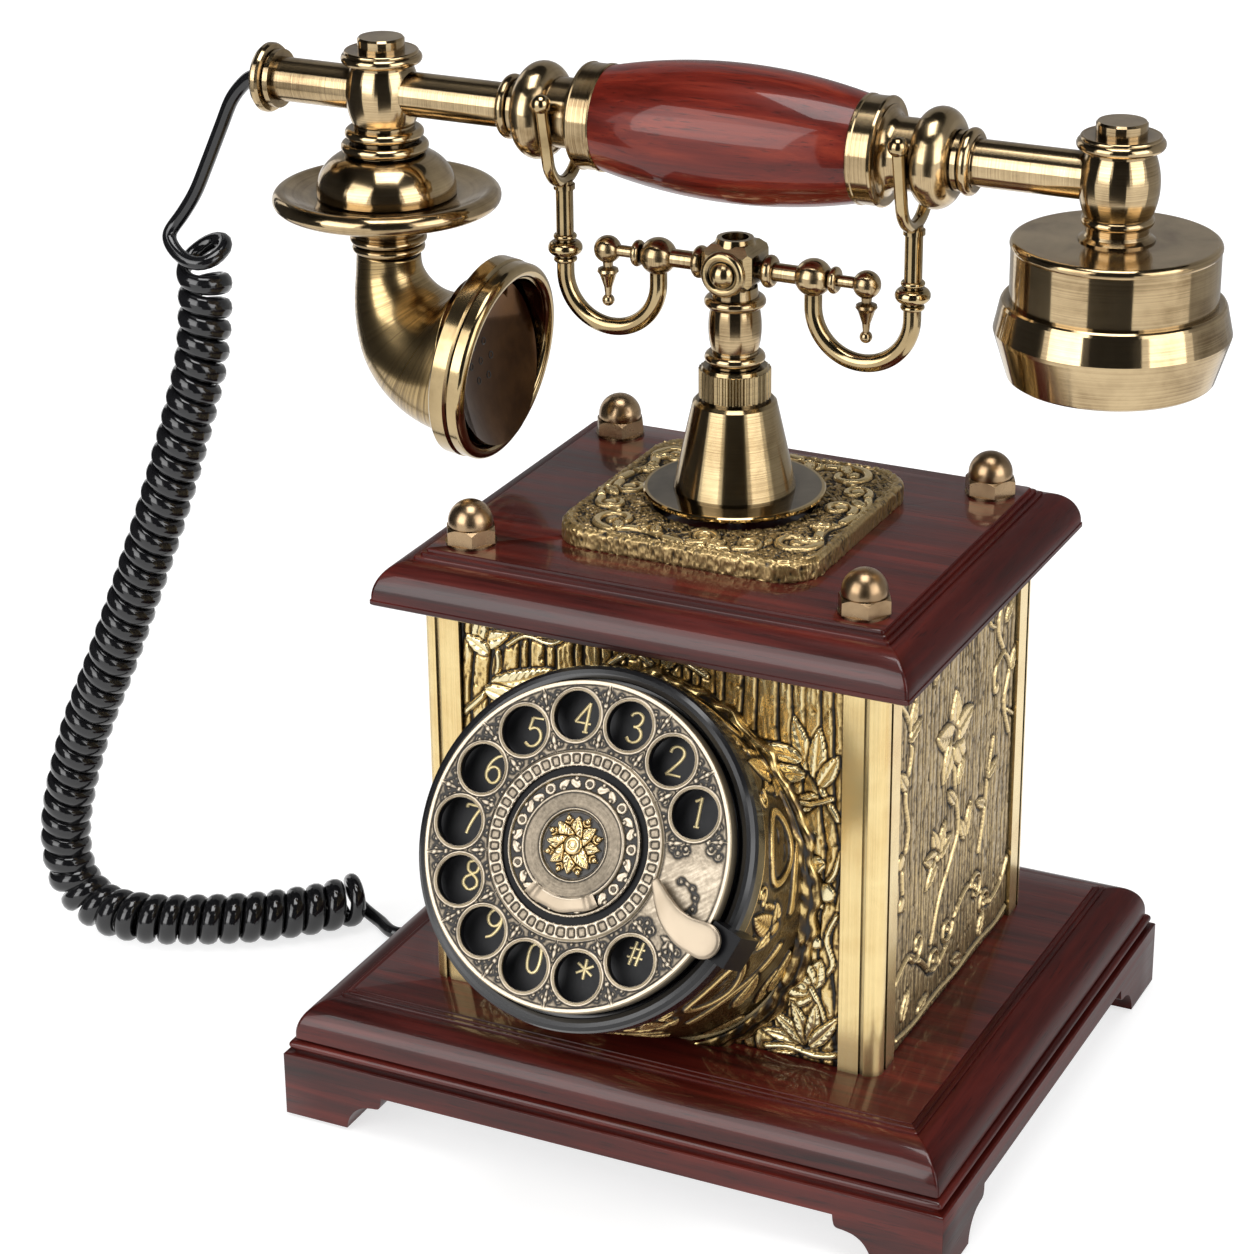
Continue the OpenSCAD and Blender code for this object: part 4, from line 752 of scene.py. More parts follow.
def line_distance(u, v, line):
    """Distance of each point to a polyline, and how far along it the nearest place is."""
    best, place = np.full(u.shape, 1e9), np.zeros(u.shape)
    count = len(line) - 1
    for i in range(count):
        (ax, ay), (bx, by) = line[i], line[i + 1]
        dx, dy = bx - ax, by - ay
        t = np.clip(((u - ax) * dx + (v - ay) * dy) / (dx * dx + dy * dy + 1e-12), 0, 1)
        d = np.hypot(u - ax - dx * t, v - ay - dy * t)
        near = d < best
        best = np.where(near, d, best)
        place = np.where(near, (i + t) / count, place)
    return best, place


class Relief:
    """Heights from 0, the deepest and blackest, to 1 over points (u, v) in mm."""

    def __init__(self, u, v, base):
        self.u, self.v = np.asarray(u, float), np.asarray(v, float)
        self.h = np.broadcast_to(base, self.u.shape).astype(float).copy()

    def window(self, low, high, margin):
        """Picks the points in a rectangle with a margin round it."""
        return ((self.u > low[0] - margin) & (self.u < high[0] + margin)
                & (self.v > low[1] - margin) & (self.v < high[1] + margin))

    def lay(self, pick, inside, edge, top, foot=0.5, detail=0.0, furrow=0.6):
        """Lays a shape over what is there; inside is the depth in mm within its outline."""
        old = self.h[pick]
        shade = np.exp(-(np.clip(-inside, 0, None) / furrow) ** 2)
        old = old * (1 - 0.9 * shade)
        dome = np.sqrt(np.clip(1 - (1 - np.clip(inside / edge, 0, 1)) ** 2, 0, 1))
        new = foot + (top - foot) * dome + detail
        self.h[pick] = np.where(inside > 0, new, old)

    def vine(self, points, width, top=0.92, taper=0.0, steps=6, furrow=0.6):
        """A rounded cord through points."""
        line = catmull(points, steps)
        pick = self.window(line.min(0), line.max(0), width + 2.5 * furrow)
        if not pick.any():
            return
        d, t = line_distance(self.u[pick], self.v[pick], line)
        half = width / 2 * (1 - taper * t)
        self.lay(pick, half - d, np.maximum(half, 0.05), top, furrow=furrow)

    def leaf(self, x, y, angle, length, width, top=0.86, bend=0.0, furrow=0.6, rib=0.34):
        """A pointed leaf from its foot at (x, y); angle in degrees."""
        reach = length + width
        pick = self.window((x - reach, y - reach), (x + reach, y + reach), 1)
        a = math.radians(angle)
        du, dv = self.u[pick] - x, self.v[pick] - y
        along, across = du * math.cos(a) + dv * math.sin(a), dv * math.cos(a) - du * math.sin(a)
        across = across - bend * along * along / length
        t = np.clip(along / length, 1e-4, 1 - 1e-4)
        half = width / 2 * 2.74 * t ** 0.6 * (1 - t) ** 0.9
        beyond = np.maximum(-along, along - length)
        inside = np.where(beyond > 0, -np.hypot(beyond, across), (half - np.abs(across)) * 0.85)
        groove = -rib * np.exp(-(across / 0.4) ** 2) * (t < 0.9)
        veins = 0.07 * np.cos((along - 1.1 * np.abs(across)) * 2.6) * (np.abs(across) > 0.5)
        lift = 0.08 * np.abs(across) / (half + 0.3)
        self.lay(pick, inside, 0.8, top, detail=groove + veins + lift, furrow=furrow)

    def leaves(self, *rows):
        """Leaves one after another, each (x, y, angle, length, width), with or without a bend."""
        for x, y, angle, length, width, *bend in rows:
            self.leaf(x, y, angle, length, width, bend=bend[0] if bend else 0.0)

    def disc(self, x, y, radius, top=0.95, foot=0.5, edge=None, furrow=0.6):
        """A dome, or a flat disc with a rounded edge."""
        pick = self.window((x - radius, y - radius), (x + radius, y + radius), 2.0)
        d = np.hypot(self.u[pick] - x, self.v[pick] - y)
        self.lay(pick, radius - d, edge or radius, top, foot, furrow=furrow)

    def flower(self, x, y, petals, length, width, turn=0.0, top=0.9):
        """A ring of petals round a hollow boss."""
        for k in range(petals):
            self.leaf(x, y, turn + 360 * k / petals, length, width, top)
        self.disc(x, y, width * 0.30, 0.98, 0.3)
        self.disc(x, y, width * 0.14, 0.15, 0.3)

    def lobed_leaf(self, x, y, angle, size, spread=38, top=0.88):
        """A leaf of five lobes."""
        for k in (-2, 2, -1, 1, 0):
            self.leaf(x, y, angle + spread * k, size * (1 - 0.13 * abs(k)), size * 0.42, top)

    def scroll(self, x, y, angle, size, turns, width, side=1, stem=0.0):
        """A vine that leaves (x, y) at an angle and rolls up into a spiral."""
        a = math.radians(angle)
        count = int(10 * turns) + 2
        line = [(0.0, 0.0)] if stem > 0.5 else []
        for k in range(count):
            t = k / (count - 1)
            r = size * (1 - 0.80 * t)
            phi = -math.pi / 2 + TAU * turns * t
            line.append((stem + r * math.cos(phi), side * (size + r * math.sin(phi))))
        cos, sin = math.cos(a), math.sin(a)
        line = [(x + px * cos - py * sin, y + px * sin + py * cos) for px, py in line]
        self.vine(line, width, taper=0.35, steps=3)
        self.disc(*line[-1], width * 0.75)


def bark(u, v, layer=0):
    """Upright planks of streaky bark with dark joints."""
    shift = (1.3 * (noise2(u / 14 + 3, v / 26, layer) - 0.5)
             + 0.5 * (noise2(u / 5, v / 9, layer) - 0.5))
    x = u + 2 * shift
    edges, place = [], -75.0
    while place < 75:
        edges.append(place)
        place += 2.6 + 3.6 * NOISE_TABLE[len(edges) % 256, 5 + layer]
    edges = np.array(edges)
    index = np.clip(np.searchsorted(edges, x) - 1, 0, len(edges) - 2)
    near = np.minimum(x - edges[index], edges[index + 1] - x)
    broken = noise2(x / 3, v / 11, layer + 1)
    joint = np.exp(-(near / (0.30 + 0.30 * broken)) ** 2) * np.clip(broken * 2.2, 0.35, 1)
    streak = noise2(x * 1.5, v / 7, layer + 2) * 0.55 + noise2(x * 3.1, v / 3.0, layer + 3) * 0.45
    pit = np.clip(noise2(x * 1.1, v / 1.7, layer + 4) - 0.70, 0, 1)
    level = 0.50 + 0.34 * (streak - 0.5) + 0.10 * (near > 0.6) - 0.5 * joint - pit
    return np.clip(level, 0.02, 0.78)


def relief_sheet(name, u, v, heights, place, depth, material, body, keep=None, rise=0.06):
    """A cast sheet of relief; place(u, v, out) gives the points for a height out, in mm."""
    rows, columns = u.shape
    x, y, z = place(u, v, rise + depth * np.clip(heights, 0, 1.05))
    points = np.stack([x, y, z], -1).reshape(-1, 3)
    faces = grid_faces(rows, columns)
    if keep is not None:
        kept = keep.reshape(-1)
        faces = [f for f in faces if kept[f].all()]
    border = (list(range(columns)) + [i * columns + columns - 1 for i in range(1, rows)]
              + [(rows - 1) * columns + j for j in range(columns - 2, -1, -1)]
              + [i * columns for i in range(rows - 2, 0, -1)])
    x, y, z = place(u, v, 0.0 * u)
    back = np.stack([x, y, z], -1).reshape(-1, 3)[border]
    start = len(points)
    points = np.concatenate([points, back])
    for k, a in enumerate(border):
        b = border[(k + 1) % len(border)]
        if keep is None or (kept[a] and kept[b]):
            faces.append([b, a, start + k, start + (k + 1) % len(border)])
    values = np.concatenate([heights.reshape(-1), np.full(len(border), 0.1)])
    piece = mesh_object(name, points, faces, [material], body, None, None, {"relief": values})
    loose(piece)
    return piece


def loose(piece):
    """Deletes points that no face uses."""
    mesh = bmesh.new()
    mesh.from_mesh(piece.data)
    bmesh.ops.delete(mesh, geom=[v for v in mesh.verts if not v.link_faces], context="VERTS")
    mesh.to_mesh(piece.data)
    mesh.free()


gold_relief = relief_brass("gold_relief", (0.25, 0.15, 0.042), (0.88, 0.63, 0.25),
                           (1.0, 0.87, 0.52), (0.18, 0.40))
pewter_relief = relief_brass("pewter_relief", (0.16, 0.128, 0.088), (0.31, 0.255, 0.185),
                             (0.60, 0.51, 0.39), (0.36, 0.50))
champagne = brass("champagne", None, (0.36, 0.285, 0.20), (0.47, 0.385, 0.285), (0.40, 0.48), 0.1,
                  0.0, metal=0.85)
digit_gold = brass("digit_gold", None, (0.78, 0.63, 0.32), (0.94, 0.79, 0.45), (0.42, 0.50), 0.0,
                   0.0, metal=0.8)

# ---------------------------------------------------------------- panels

PANEL_FACE_Y, PANEL_FACE_X = 57.85, 69.9
PANEL_HALF_X, PANEL_HALF_Y, PANEL_RELIEF = 59.4, 47.35, 1.55
DIAL_TILT = math.radians(30)
DIAL_CENTRE = np.array([0.0, -104.615, 119.1])
DIAL_RIGHT = np.array([1.0, 0.0, 0.0])
DIAL_UP = np.array([0.0, math.sin(DIAL_TILT), math.cos(DIAL_TILT)])
DIAL_OUT = np.array([0.0, -math.cos(DIAL_TILT), math.sin(DIAL_TILT)])
DRUM_R = 48.6


def panel_grid(half, cell):
    """Points (u, v) of a panel between the deck and the top board."""
    across = np.linspace(-half, half, int(2 * half / cell) + 1)
    upward = np.linspace(DECK_TOP + 0.05, CASE_TOP - 0.05, int((CASE_TOP - DECK_TOP) / cell) + 1)
    return np.meshgrid(across, upward)


def front_panel_relief():
    """Lilies, leaves and buds on bark, with room for the drum."""
    u, v = panel_grid(PANEL_HALF_X, 0.42)
    r = Relief(u, v, bark(u, v, 0))
    # upper left: lily leaves and a bud
    r.vine([(-59, 128), (-54, 133), (-49, 139), (-47, 147), (-50, 156)], 1.7)
    r.leaves((-50, 139, 8, 21, 6.5, 0.25), (-52, 137, -16, 19, 6.0, 0.2), (-55, 150, 25, 13, 5.5),
             (-54, 151, 75, 10, 5.0), (-50, 148, 150, 9, 4.5))
    r.vine([(-44, 152), (-38, 156), (-30, 155), (-24, 159)], 1.4)
    # upper middle, over the drum
    r.vine([(-12, 152), (-4, 157), (4, 153), (10, 157), (18, 154)], 1.6)
    r.leaves((-4, 155, 120, 8, 4.2), (5, 154, 60, 8, 4.2))
    # upper right: a spray of leaves
    r.vine([(58, 118), (54, 124), (50, 131), (43, 136), (33, 137)], 1.9)
    r.leaves((50, 131, 118, 17, 5.6, -0.15), (51, 129, 86, 16, 5.2), (52, 127, 60, 12, 4.6),
             (47, 134, 165, 15, 5.4, 0.2), (48, 130, 192, 16, 5.6, -0.2), (52, 124, 215, 12, 4.8))
    r.vine([(56, 124), (49, 121), (43, 122), (39, 126)], 1.3)
    # right edge: a bud on a stem
    r.vine([(59, 108), (57, 101), (54, 96), (53, 90)], 1.5)
    r.leaf(54, 104, 205, 9, 5.5)
    r.disc(54.5, 94.5, 2.9, 0.95)
    r.vine([(58, 88), (55, 80), (57, 72), (53, 66)], 1.5)
    r.disc(51.5, 78, 2.0)
    # lower right: a lobed leaf and a rosette of pointed leaves
    r.lobed_leaf(50.5, 63, 150, 14)
    r.vine([(55, 52), (53, 58), (50.5, 63)], 1.5)
    for angle in (195, 165, 135, 105, 75, 45):
        r.leaf(50, 44, angle, 14.5, 4.4, bend=0.12)
    r.vine([(37, 41), (44, 42.5), (52, 41.5), (59, 43)], 1.8)
    # lower left
    r.vine([(-58, 60), (-54, 68), (-56, 78), (-53, 88), (-56, 98)], 1.5)
    r.leaves((-54, 70, 60, 10, 4.6), (-55, 86, 40, 10, 4.6))
    r.lobed_leaf(-52, 47, 60, 12)
    frame_edges(r, PANEL_HALF_X)
    _, axis_y, axis_z = DIAL_CENTRE
    # the sheet stops inside the drum, which meets it along an ellipse
    rise = (v - axis_z) - (-PANEL_FACE_Y - axis_y) * math.tan(-DIAL_TILT)
    reach = np.hypot(u, rise * math.cos(DIAL_TILT))
    relief_sheet("front_relief", u, v, r.h, lambda a, b, out: (a, -PANEL_FACE_Y - out, b),
                 PANEL_RELIEF, gold_relief, "base", reach > DRUM_R - 1.5)


def frame_edges(r, half):
    """Darkens the sheet where it meets the posts, the deck and the top board."""
    side = half - np.abs(r.u)
    level = np.minimum(r.v - DECK_TOP, CASE_TOP - r.v)
    r.h *= 1 - 0.75 * np.exp(-(side / 0.9) ** 2)
    r.h *= 1 - 0.6 * np.exp(-(level / 0.8) ** 2)


def side_panel_relief(name, sign, layer, cell):
    """The vine panel of one side; u runs from the front to the back as one looks at it."""
    u, v = panel_grid(PANEL_HALF_Y, cell)
    r = Relief(u, v, 0.9 * bark(u * 1.5, v, layer))
    # hanging vine at the back edge
    r.vine([(46, 158), (36, 152), (31, 143), (36, 134), (42, 126), (38, 116), (43, 104)], 1.7)
    r.vine([(32, 150), (26, 153), (24, 147), (28, 144)], 1.3)
    r.vine([(37, 133), (30, 130), (29, 124), (33, 122)], 1.3)
    r.vine([(41, 112), (47, 108)], 1.3)
    r.disc(24.5, 150, 1.7)
    r.disc(31, 123, 1.9)
    r.leaves((43, 124, 60, 9, 4.6), (37, 142, 40, 9, 4.2))
    # the star flower on its stem
    r.vine([(-18, 62), (-12, 74), (-4, 82), (2, 90), (0, 100), (-2, 108), (-3, 118)], 1.6)
    r.flower(-3, 122, 5, 15, 8.4, 88)
    r.leaves((0, 105, 55, 10, 4.4), (-1, 100, 135, 9, 4.2))
    # the leaf cluster below it
    for angle in (15, 62, 112, 162, 215):
        r.leaf(-14, 88, angle, 11.5, 5.2)
    r.disc(-14, 88, 1.5)
    r.leaves((8, 84, 70, 12, 4.4), (8, 84, 118, 10, 4.0))
    # front edge: stem with buds
    r.vine([(-46, 150), (-40, 143), (-37, 132), (-41, 120), (-38, 108), (-42, 96), (-40, 84)], 1.6)
    r.leaves((-38, 138, 70, 11, 5.2), (-39, 136, 20, 10, 4.8), (-40, 122, 130, 9, 4.6))
    r.disc(-43, 100, 2.6)
    r.disc(-42, 86, 2.4)
    # slanting stems at the back
    r.vine([(20, 74), (24, 86), (26, 98), (30, 108)], 1.4, taper=0.4)
    r.leaves((26, 96, 20, 9, 3.8), (24, 88, 150, 8, 3.6))
    # scrolls along the foot
    r.vine([(-46, 62), (-36, 66), (-26, 60), (-16, 52), (-6, 54), (2, 62), (12, 66), (22, 60),
            (30, 52), (40, 54), (46, 60)], 1.9)
    r.scroll(-34, 65, -70, 5.2, 1.1, 1.5, 1)
    r.scroll(-20, 54, -60, 4.2, 1.0, 1.4, 1)
    r.scroll(0, 60, -95, 5.0, 1.1, 1.5, -1)
    r.scroll(14, 65, 60, 5.4, 1.1, 1.5, -1)
    r.scroll(30, 52, 70, 5.0, 1.0, 1.4, 1)
    r.scroll(-12, 53, 70, 4.6, 1.1, 1.4, 1)
    r.leaves((-40, 47, 60, 10, 5.0), (-28, 43, 20, 9, 4.2), (8, 44, 160, 9, 4.2),
             (22, 44, 60, 9, 4.6))
    r.vine([(-44, 43), (-30, 41.5), (-14, 42.5), (4, 41.5), (20, 42.5), (36, 41.5), (46, 43)], 1.5)
    # along the top
    r.vine([(-24, 160), (-16, 153), (-6, 152), (4, 157), (14, 153), (20, 158)], 1.5)
    r.leaves((-16, 153, 240, 9, 4.4), (4, 156, 285, 9, 4.4))
    frame_edges(r, PANEL_HALF_Y)
    relief_sheet(name, u, v, r.h,
                 lambda a, b, out: (sign * (PANEL_FACE_X + out), sign * a, b), PANEL_RELIEF,
                 side_relief_shaded, "base")


def rear_panel_relief():
    """A flower between two climbing vines, the same on both sides."""
    u, v = panel_grid(PANEL_HALF_X, 0.7)
    r = Relief(u, v, bark(u, v, 3))
    for side in (-1, 1):
        r.vine([(side * 50, 42), (side * 46, 62), (side * 34, 78), (side * 40, 98),
                (side * 30, 116), (side * 14, 128), (0, 150)], 2.0)
        r.scroll(side * 36, 80, 90 - side * 60, 8, 1.1, 1.6, side)
        r.scroll(side * 34, 108, 90 - side * 50, 7, 1.1, 1.6, side)
        r.leaves((side * 44, 66, 90 - side * 40, 13, 6), (side * 38, 98, 90 + side * 60, 13, 6),
                 (side * 20, 124, 90 - side * 30, 13, 6))
        r.lobed_leaf(side * 44, 132, 90 - side * 30, 13)
        r.leaf(side * 24, 46, 90 + side * 50, 12, 5)
    r.flower(0, 96, 6, 17, 9, 90)
    r.vine([(0, 42), (0, 60), (0, 80)], 1.8)
    r.leaves((0, 62, 40, 12, 5), (0, 62, 140, 12, 5))
    frame_edges(r, PANEL_HALF_X)
    relief_sheet("rear_relief", u, v, r.h, lambda a, b, out: (-a, PANEL_FACE_Y + out, b),
                 PANEL_RELIEF, gold_relief, "base")


# a darker, greyer copy of gold_relief for the two side panels: painted shade
side_relief_shaded = relief_brass("side_relief_shaded", (0.19, 0.132, 0.063), (0.48, 0.355, 0.18),
                           (0.86, 0.65, 0.32), (0.24, 0.46))
front_panel_relief()
side_panel_relief("right_relief", 1, 1, 0.42)
side_panel_relief("left_relief", -1, 2, 0.6)
rear_panel_relief()


# ---------------------------------------------------------------- dial

HOLE_RING_R, HOLE_R, HOLE_FIRST, HOLE_STEP = 35.7, 6.8, 24.8, 25.93
WHEEL_INNER_R, WHEEL_OUTER_R = 25.7, 45.2
HOLE_ANGLES = [math.radians(HOLE_FIRST + HOLE_STEP * k) for k in range(12)]


def on_dial(x, y, w):
    """World points, in mm, of places on the dial; w is the height over the wheel's face."""
    x, y, w = np.broadcast_arrays(np.asarray(x, float), y, w)
    return (DIAL_CENTRE + x[..., None] * DIAL_RIGHT + y[..., None] * DIAL_UP
            + w[..., None] * DIAL_OUT)


def lathe(name, profile, place, material, body, segments=160, sharp=35.0, closed=False):
    """Turns a profile of (radius, height); place(x, y, height) gives the points in mm."""
    angle = np.arange(segments) * TAU / segments
    radius, height = np.array(profile, float).T
    points = place(radius[:, None] * np.cos(angle), radius[:, None] * np.sin(angle),
                   np.repeat(height[:, None], segments, 1)).reshape(-1, 3)
    faces = grid_faces(len(profile), segments, wrap=True)
    if closed:
        last = (len(profile) - 1) * segments
        faces += [[last + j, last + (j + 1) % segments, (j + 1) % segments, j]
                  for j in range(segments)]
    piece = mesh_object(name, points, faces, [material], body, sharp)
    return piece


def wheel_patches():
    """Grids of (x, y) that cover the wheel's face: one round each hole and the plain sector."""
    inner, outer, half = WHEEL_INNER_R, WHEEL_OUTER_R, math.radians(HOLE_STEP / 2)
    corners = [math.atan2(r * math.sin(a), r * math.cos(a) - HOLE_RING_R)
               for r, a in ((outer, half), (outer, -half), (inner, -half), (inner, half))]
    # directions from the hole's centre, through the four corners in turn
    starts = [corners[1], corners[0], corners[3], corners[2] + TAU]
    stops = starts[1:] + [corners[1] + TAU]
    phi = np.concatenate([np.linspace(a, b, n, endpoint=False)
                          for a, b, n in zip(starts, stops, (56, 52, 40, 52))])
    phi = np.append(phi, phi[0] + TAU)
    reach = []
    for a in phi:
        dx, dy = math.cos(a), math.sin(a)
        best = 1e9
        # where the ray leaves through the inner or the outer circle
        for r in (inner, outer):
            b, c = HOLE_RING_R * dx, HOLE_RING_R ** 2 - r * r
            if b * b - c > 0:
                for t in (-b + math.sqrt(b * b - c), -b - math.sqrt(b * b - c)):
                    px, py = HOLE_RING_R + t * dx, t * dy
                    if t > 0 and abs(math.atan2(py, px)) < half + 1e-9:
                        best = min(best, t)
        # where it leaves through the line half-way to the next hole
        for s in (-1, 1):
            nx, ny = -math.sin(s * half), math.cos(s * half)
            under = dx * nx + dy * ny
            if abs(under) > 1e-9:
                t = -HOLE_RING_R * nx / under
                px, py = HOLE_RING_R + t * dx, t * dy
                if t > 0 and inner - 1e-6 < math.hypot(px, py) < outer + 1e-6:
                    best = min(best, t)
        reach.append(best)
    grow = np.linspace(0, 1, 26)[:, None]
    radius = HOLE_R + (np.array(reach)[None, :] - HOLE_R) * grow
    x, y = HOLE_RING_R + radius * np.cos(phi), radius * np.sin(phi)
    patches = [rotated(x, y, a) for a in HOLE_ANGLES]
    spread = np.linspace(HOLE_ANGLES[11] + half, HOLE_ANGLES[0] + TAU - half, 130)
    radial = np.linspace(inner, outer, 66)[:, None]
    patches.append((radial * np.cos(spread), radial * np.sin(spread)))
    return patches


def flourish(r, x, y, angle, size, width):
    """Two curls and a bud that open away from (x, y)."""
    for side in (-1, 1):
        r.scroll(x, y, angle + side * 24, size, 0.95, width, side, stem=size * 0.5)
    a = math.radians(angle)
    r.leaf(x, y, angle, size * 2.6, size * 0.9, 0.85, furrow=0.35, rib=0.1)
    r.disc(x - 0.5 * math.cos(a), y - 0.5 * math.sin(a), width * 0.9, furrow=0.35)


def wheel_relief():
    """The wheel's engraved face: flourishes round the holes and a brushed plain sector."""
    patches = wheel_patches()
    x = np.concatenate([p[0].reshape(-1) for p in patches])
    y = np.concatenate([p[1].reshape(-1) for p in patches])
    radius, theta = np.hypot(x, y), np.arctan2(y, x)
    plain_mid = (HOLE_ANGLES[11] + HOLE_ANGLES[0] + TAU) / 2
    off_plain = np.abs((theta - plain_mid + math.pi) % TAU - math.pi)
    plain = np.clip((math.radians(17.5) - off_plain) / 0.05, 0, 1)
    to_hole = np.min([np.hypot(x - HOLE_RING_R * math.cos(a), y - HOLE_RING_R * math.sin(a))
                      for a in HOLE_ANGLES], axis=0) - HOLE_R
    brush = noise2((x * 0.8 + y * 0.6) * 0.35, (x * 0.6 - y * 0.8) * 4.0, 5)
    grainy = noise2(x * 2.6, y * 2.6, 6) * 0.6 + noise2(x * 5, y * 5, 7) * 0.4
    base = plain * (0.60 + 0.20 * (brush - 0.5)) + (1 - plain) * (0.40 + 0.26 * grainy)
    r = Relief(x, y, base)
    thin, furrow = 0.72, 0.34
    # between two holes, and beside the first and the last
    middles = [HOLE_ANGLES[0] - math.radians(12.5)]
    middles += [HOLE_ANGLES[0] + math.radians(HOLE_STEP * (k + 0.5)) for k in range(11)]
    middles.append(HOLE_ANGLES[11] + math.radians(12.5))
    for middle in middles:
        for rad, turn, size in ((39.4, 0, 1.8), (42.0, 180, 0.9), (32.5, 180, 1.7),
                                (28.4, 0, 1.15)):
            flourish(r, *polar(rad, middle), math.degrees(middle) + turn, size, thin)
        for side in (-1, 1):
            a = middle + math.radians(5.2 * side)
            r.scroll(*polar(42.7, a), math.degrees(a) + 90 * side, 1.05, 0.95, thin, side)
            r.scroll(*polar(29.4, a), math.degrees(a) + 90 * side, 0.95, 0.95, thin, -side)
    # a pair of small curls inside each hole
    for hole in HOLE_ANGLES:
        for side in (-1, 1):
            a = hole + math.radians(3.4 * side)
            r.scroll(*polar(27.3, a), math.degrees(a) + 90 * side, 0.62, 0.9, 0.55, side)
    # small sprig on the plain field, and a leaf near the last hole
    cx, cy = polar(37.2, plain_mid + 0.05)
    r.vine([(cx - 3.6, cy + 3.2), (cx - 1, cy + 1.8), (cx + 0.8, cy - 0.4), (cx + 1.0, cy - 3.2),
            (cx - 0.8, cy - 5.2)], 0.8, 0.8, furrow=furrow)
    for dx, dy, angle, side in ((-3.6, 3.2, 130, 1), (-1.0, 1.8, 60, -1), (1.0, -1.2, 20, 1),
                                (1.0, -3.2, -20, -1), (-0.8, -5.2, 220, 1)):
        r.scroll(cx + dx, cy + dy, angle, 0.75, 0.95, 0.6, side)
    lx, ly = polar(38.6, HOLE_ANGLES[11] + 0.33)
    for angle in (20, 95, 160, 230, 300):
        r.leaf(lx, ly, angle, 3.0, 1.4, 0.8, furrow=furrow, rib=0.1)
    # plain lands beside the edges and the holes
    land = np.clip((1.15 - to_hole) / 0.25, 0, 1)
    land = np.maximum(land, np.clip((radius - 44.1) / 0.2, 0, 1))
    land = np.maximum(land, np.clip((26.3 - radius) / 0.2, 0, 1))
    edge = np.minimum.reduce([np.abs(to_hole - 1.2), np.abs(radius - 44.0), np.abs(radius - 26.4)])
    h = r.h * (1 - 0.7 * np.exp(-(edge / 0.22) ** 2))
    h = h * (1 - land) + land * 0.84
    points, faces, values, offset = [], [], [], 0
    for px, py in patches:
        count = px.size
        part = h[offset:offset + count].reshape(px.shape)
        points.append(on_dial(px, py, 0.04 + 0.34 * part).reshape(-1, 3))
        faces += grid_faces(*px.shape, flip=True, offset=offset)
        values.append(part.reshape(-1))
        offset += count
    piece = mesh_object("wheel_filigree", np.concatenate(points), faces, [pewter_relief],
                        "dial_rotor", None, None, {"relief": np.concatenate(values)})
    weld_and_orient(piece)


def weld_and_orient(piece, distance=2e-6):
    """Joins points that lie on each other and turns the faces to look out of the dial."""
    mesh = bmesh.new()
    mesh.from_mesh(piece.data)
    bmesh.ops.remove_doubles(mesh, verts=mesh.verts, dist=distance)
    side = Vector(DIAL_OUT)
    bmesh.ops.reverse_faces(mesh, faces=[f for f in mesh.faces if f.normal.dot(side) < 0])
    bmesh.ops.delete(mesh, geom=[v for v in mesh.verts if not v.link_faces], context="VERTS")
    mesh.to_mesh(piece.data)
    mesh.free()


def polar_sheet(name, rows, columns, heights, depth, material):
    """A ring or disc of relief on the dial's wheel; rows lists (radius, level)."""
    theta = np.linspace(0.0, TAU, columns + 1)
    radius, level = (part[:, None] + 0 * theta for part in np.array(rows, float).T)
    theta = theta + 0 * radius
    h = heights(radius, theta)
    points = on_dial(radius * np.cos(theta), radius * np.sin(theta), level + depth * h)
    faces = grid_faces(len(rows), columns + 1)
    piece = mesh_object(name, points.reshape(-1, 3), faces, [material], "dial_rotor", None, None,
                        {"relief": h.reshape(-1)})
    weld_and_orient(piece)


def stud_heights(radius, theta):
    """A ring of rounded studs between two lines."""
    count, mid, half = 48, 23.75, 1.25
    cell = theta * count / TAU
    across = (cell - np.floor(cell) - 0.5) * TAU / count * mid
    odd = np.floor(cell) % 2
    wide = 1.12 - 0.12 * odd
    inside = np.minimum(wide - np.abs(across), half - np.abs(radius - mid))
    corner = np.hypot(np.clip(np.abs(across) - wide + 0.6, 0, None),
                      np.clip(np.abs(radius - mid) - half + 0.6, 0, None))
    inside = np.minimum(inside, 0.6 - corner)
    dome = np.sqrt(np.clip(1 - (1 - np.clip(inside / 0.7, 0, 1)) ** 2, 0, 1))
    ground = 0.78 + 0.14 * noise2(theta * 60, radius * 3, 8)
    h = np.where(inside > 0, 0.20 + 0.34 * dome + 0.12 * (noise2(theta * 90, radius * 5, 31) - 0.5),
                 ground)
    h *= 1 - 0.8 * np.exp(-(inside / 0.16) ** 2)
    lines = np.maximum(np.clip((radius - 25.25) / 0.12, 0, 1),
                       np.clip((22.2 - radius) / 0.12, 0, 1))
    return h * (1 - lines) + lines * 0.9


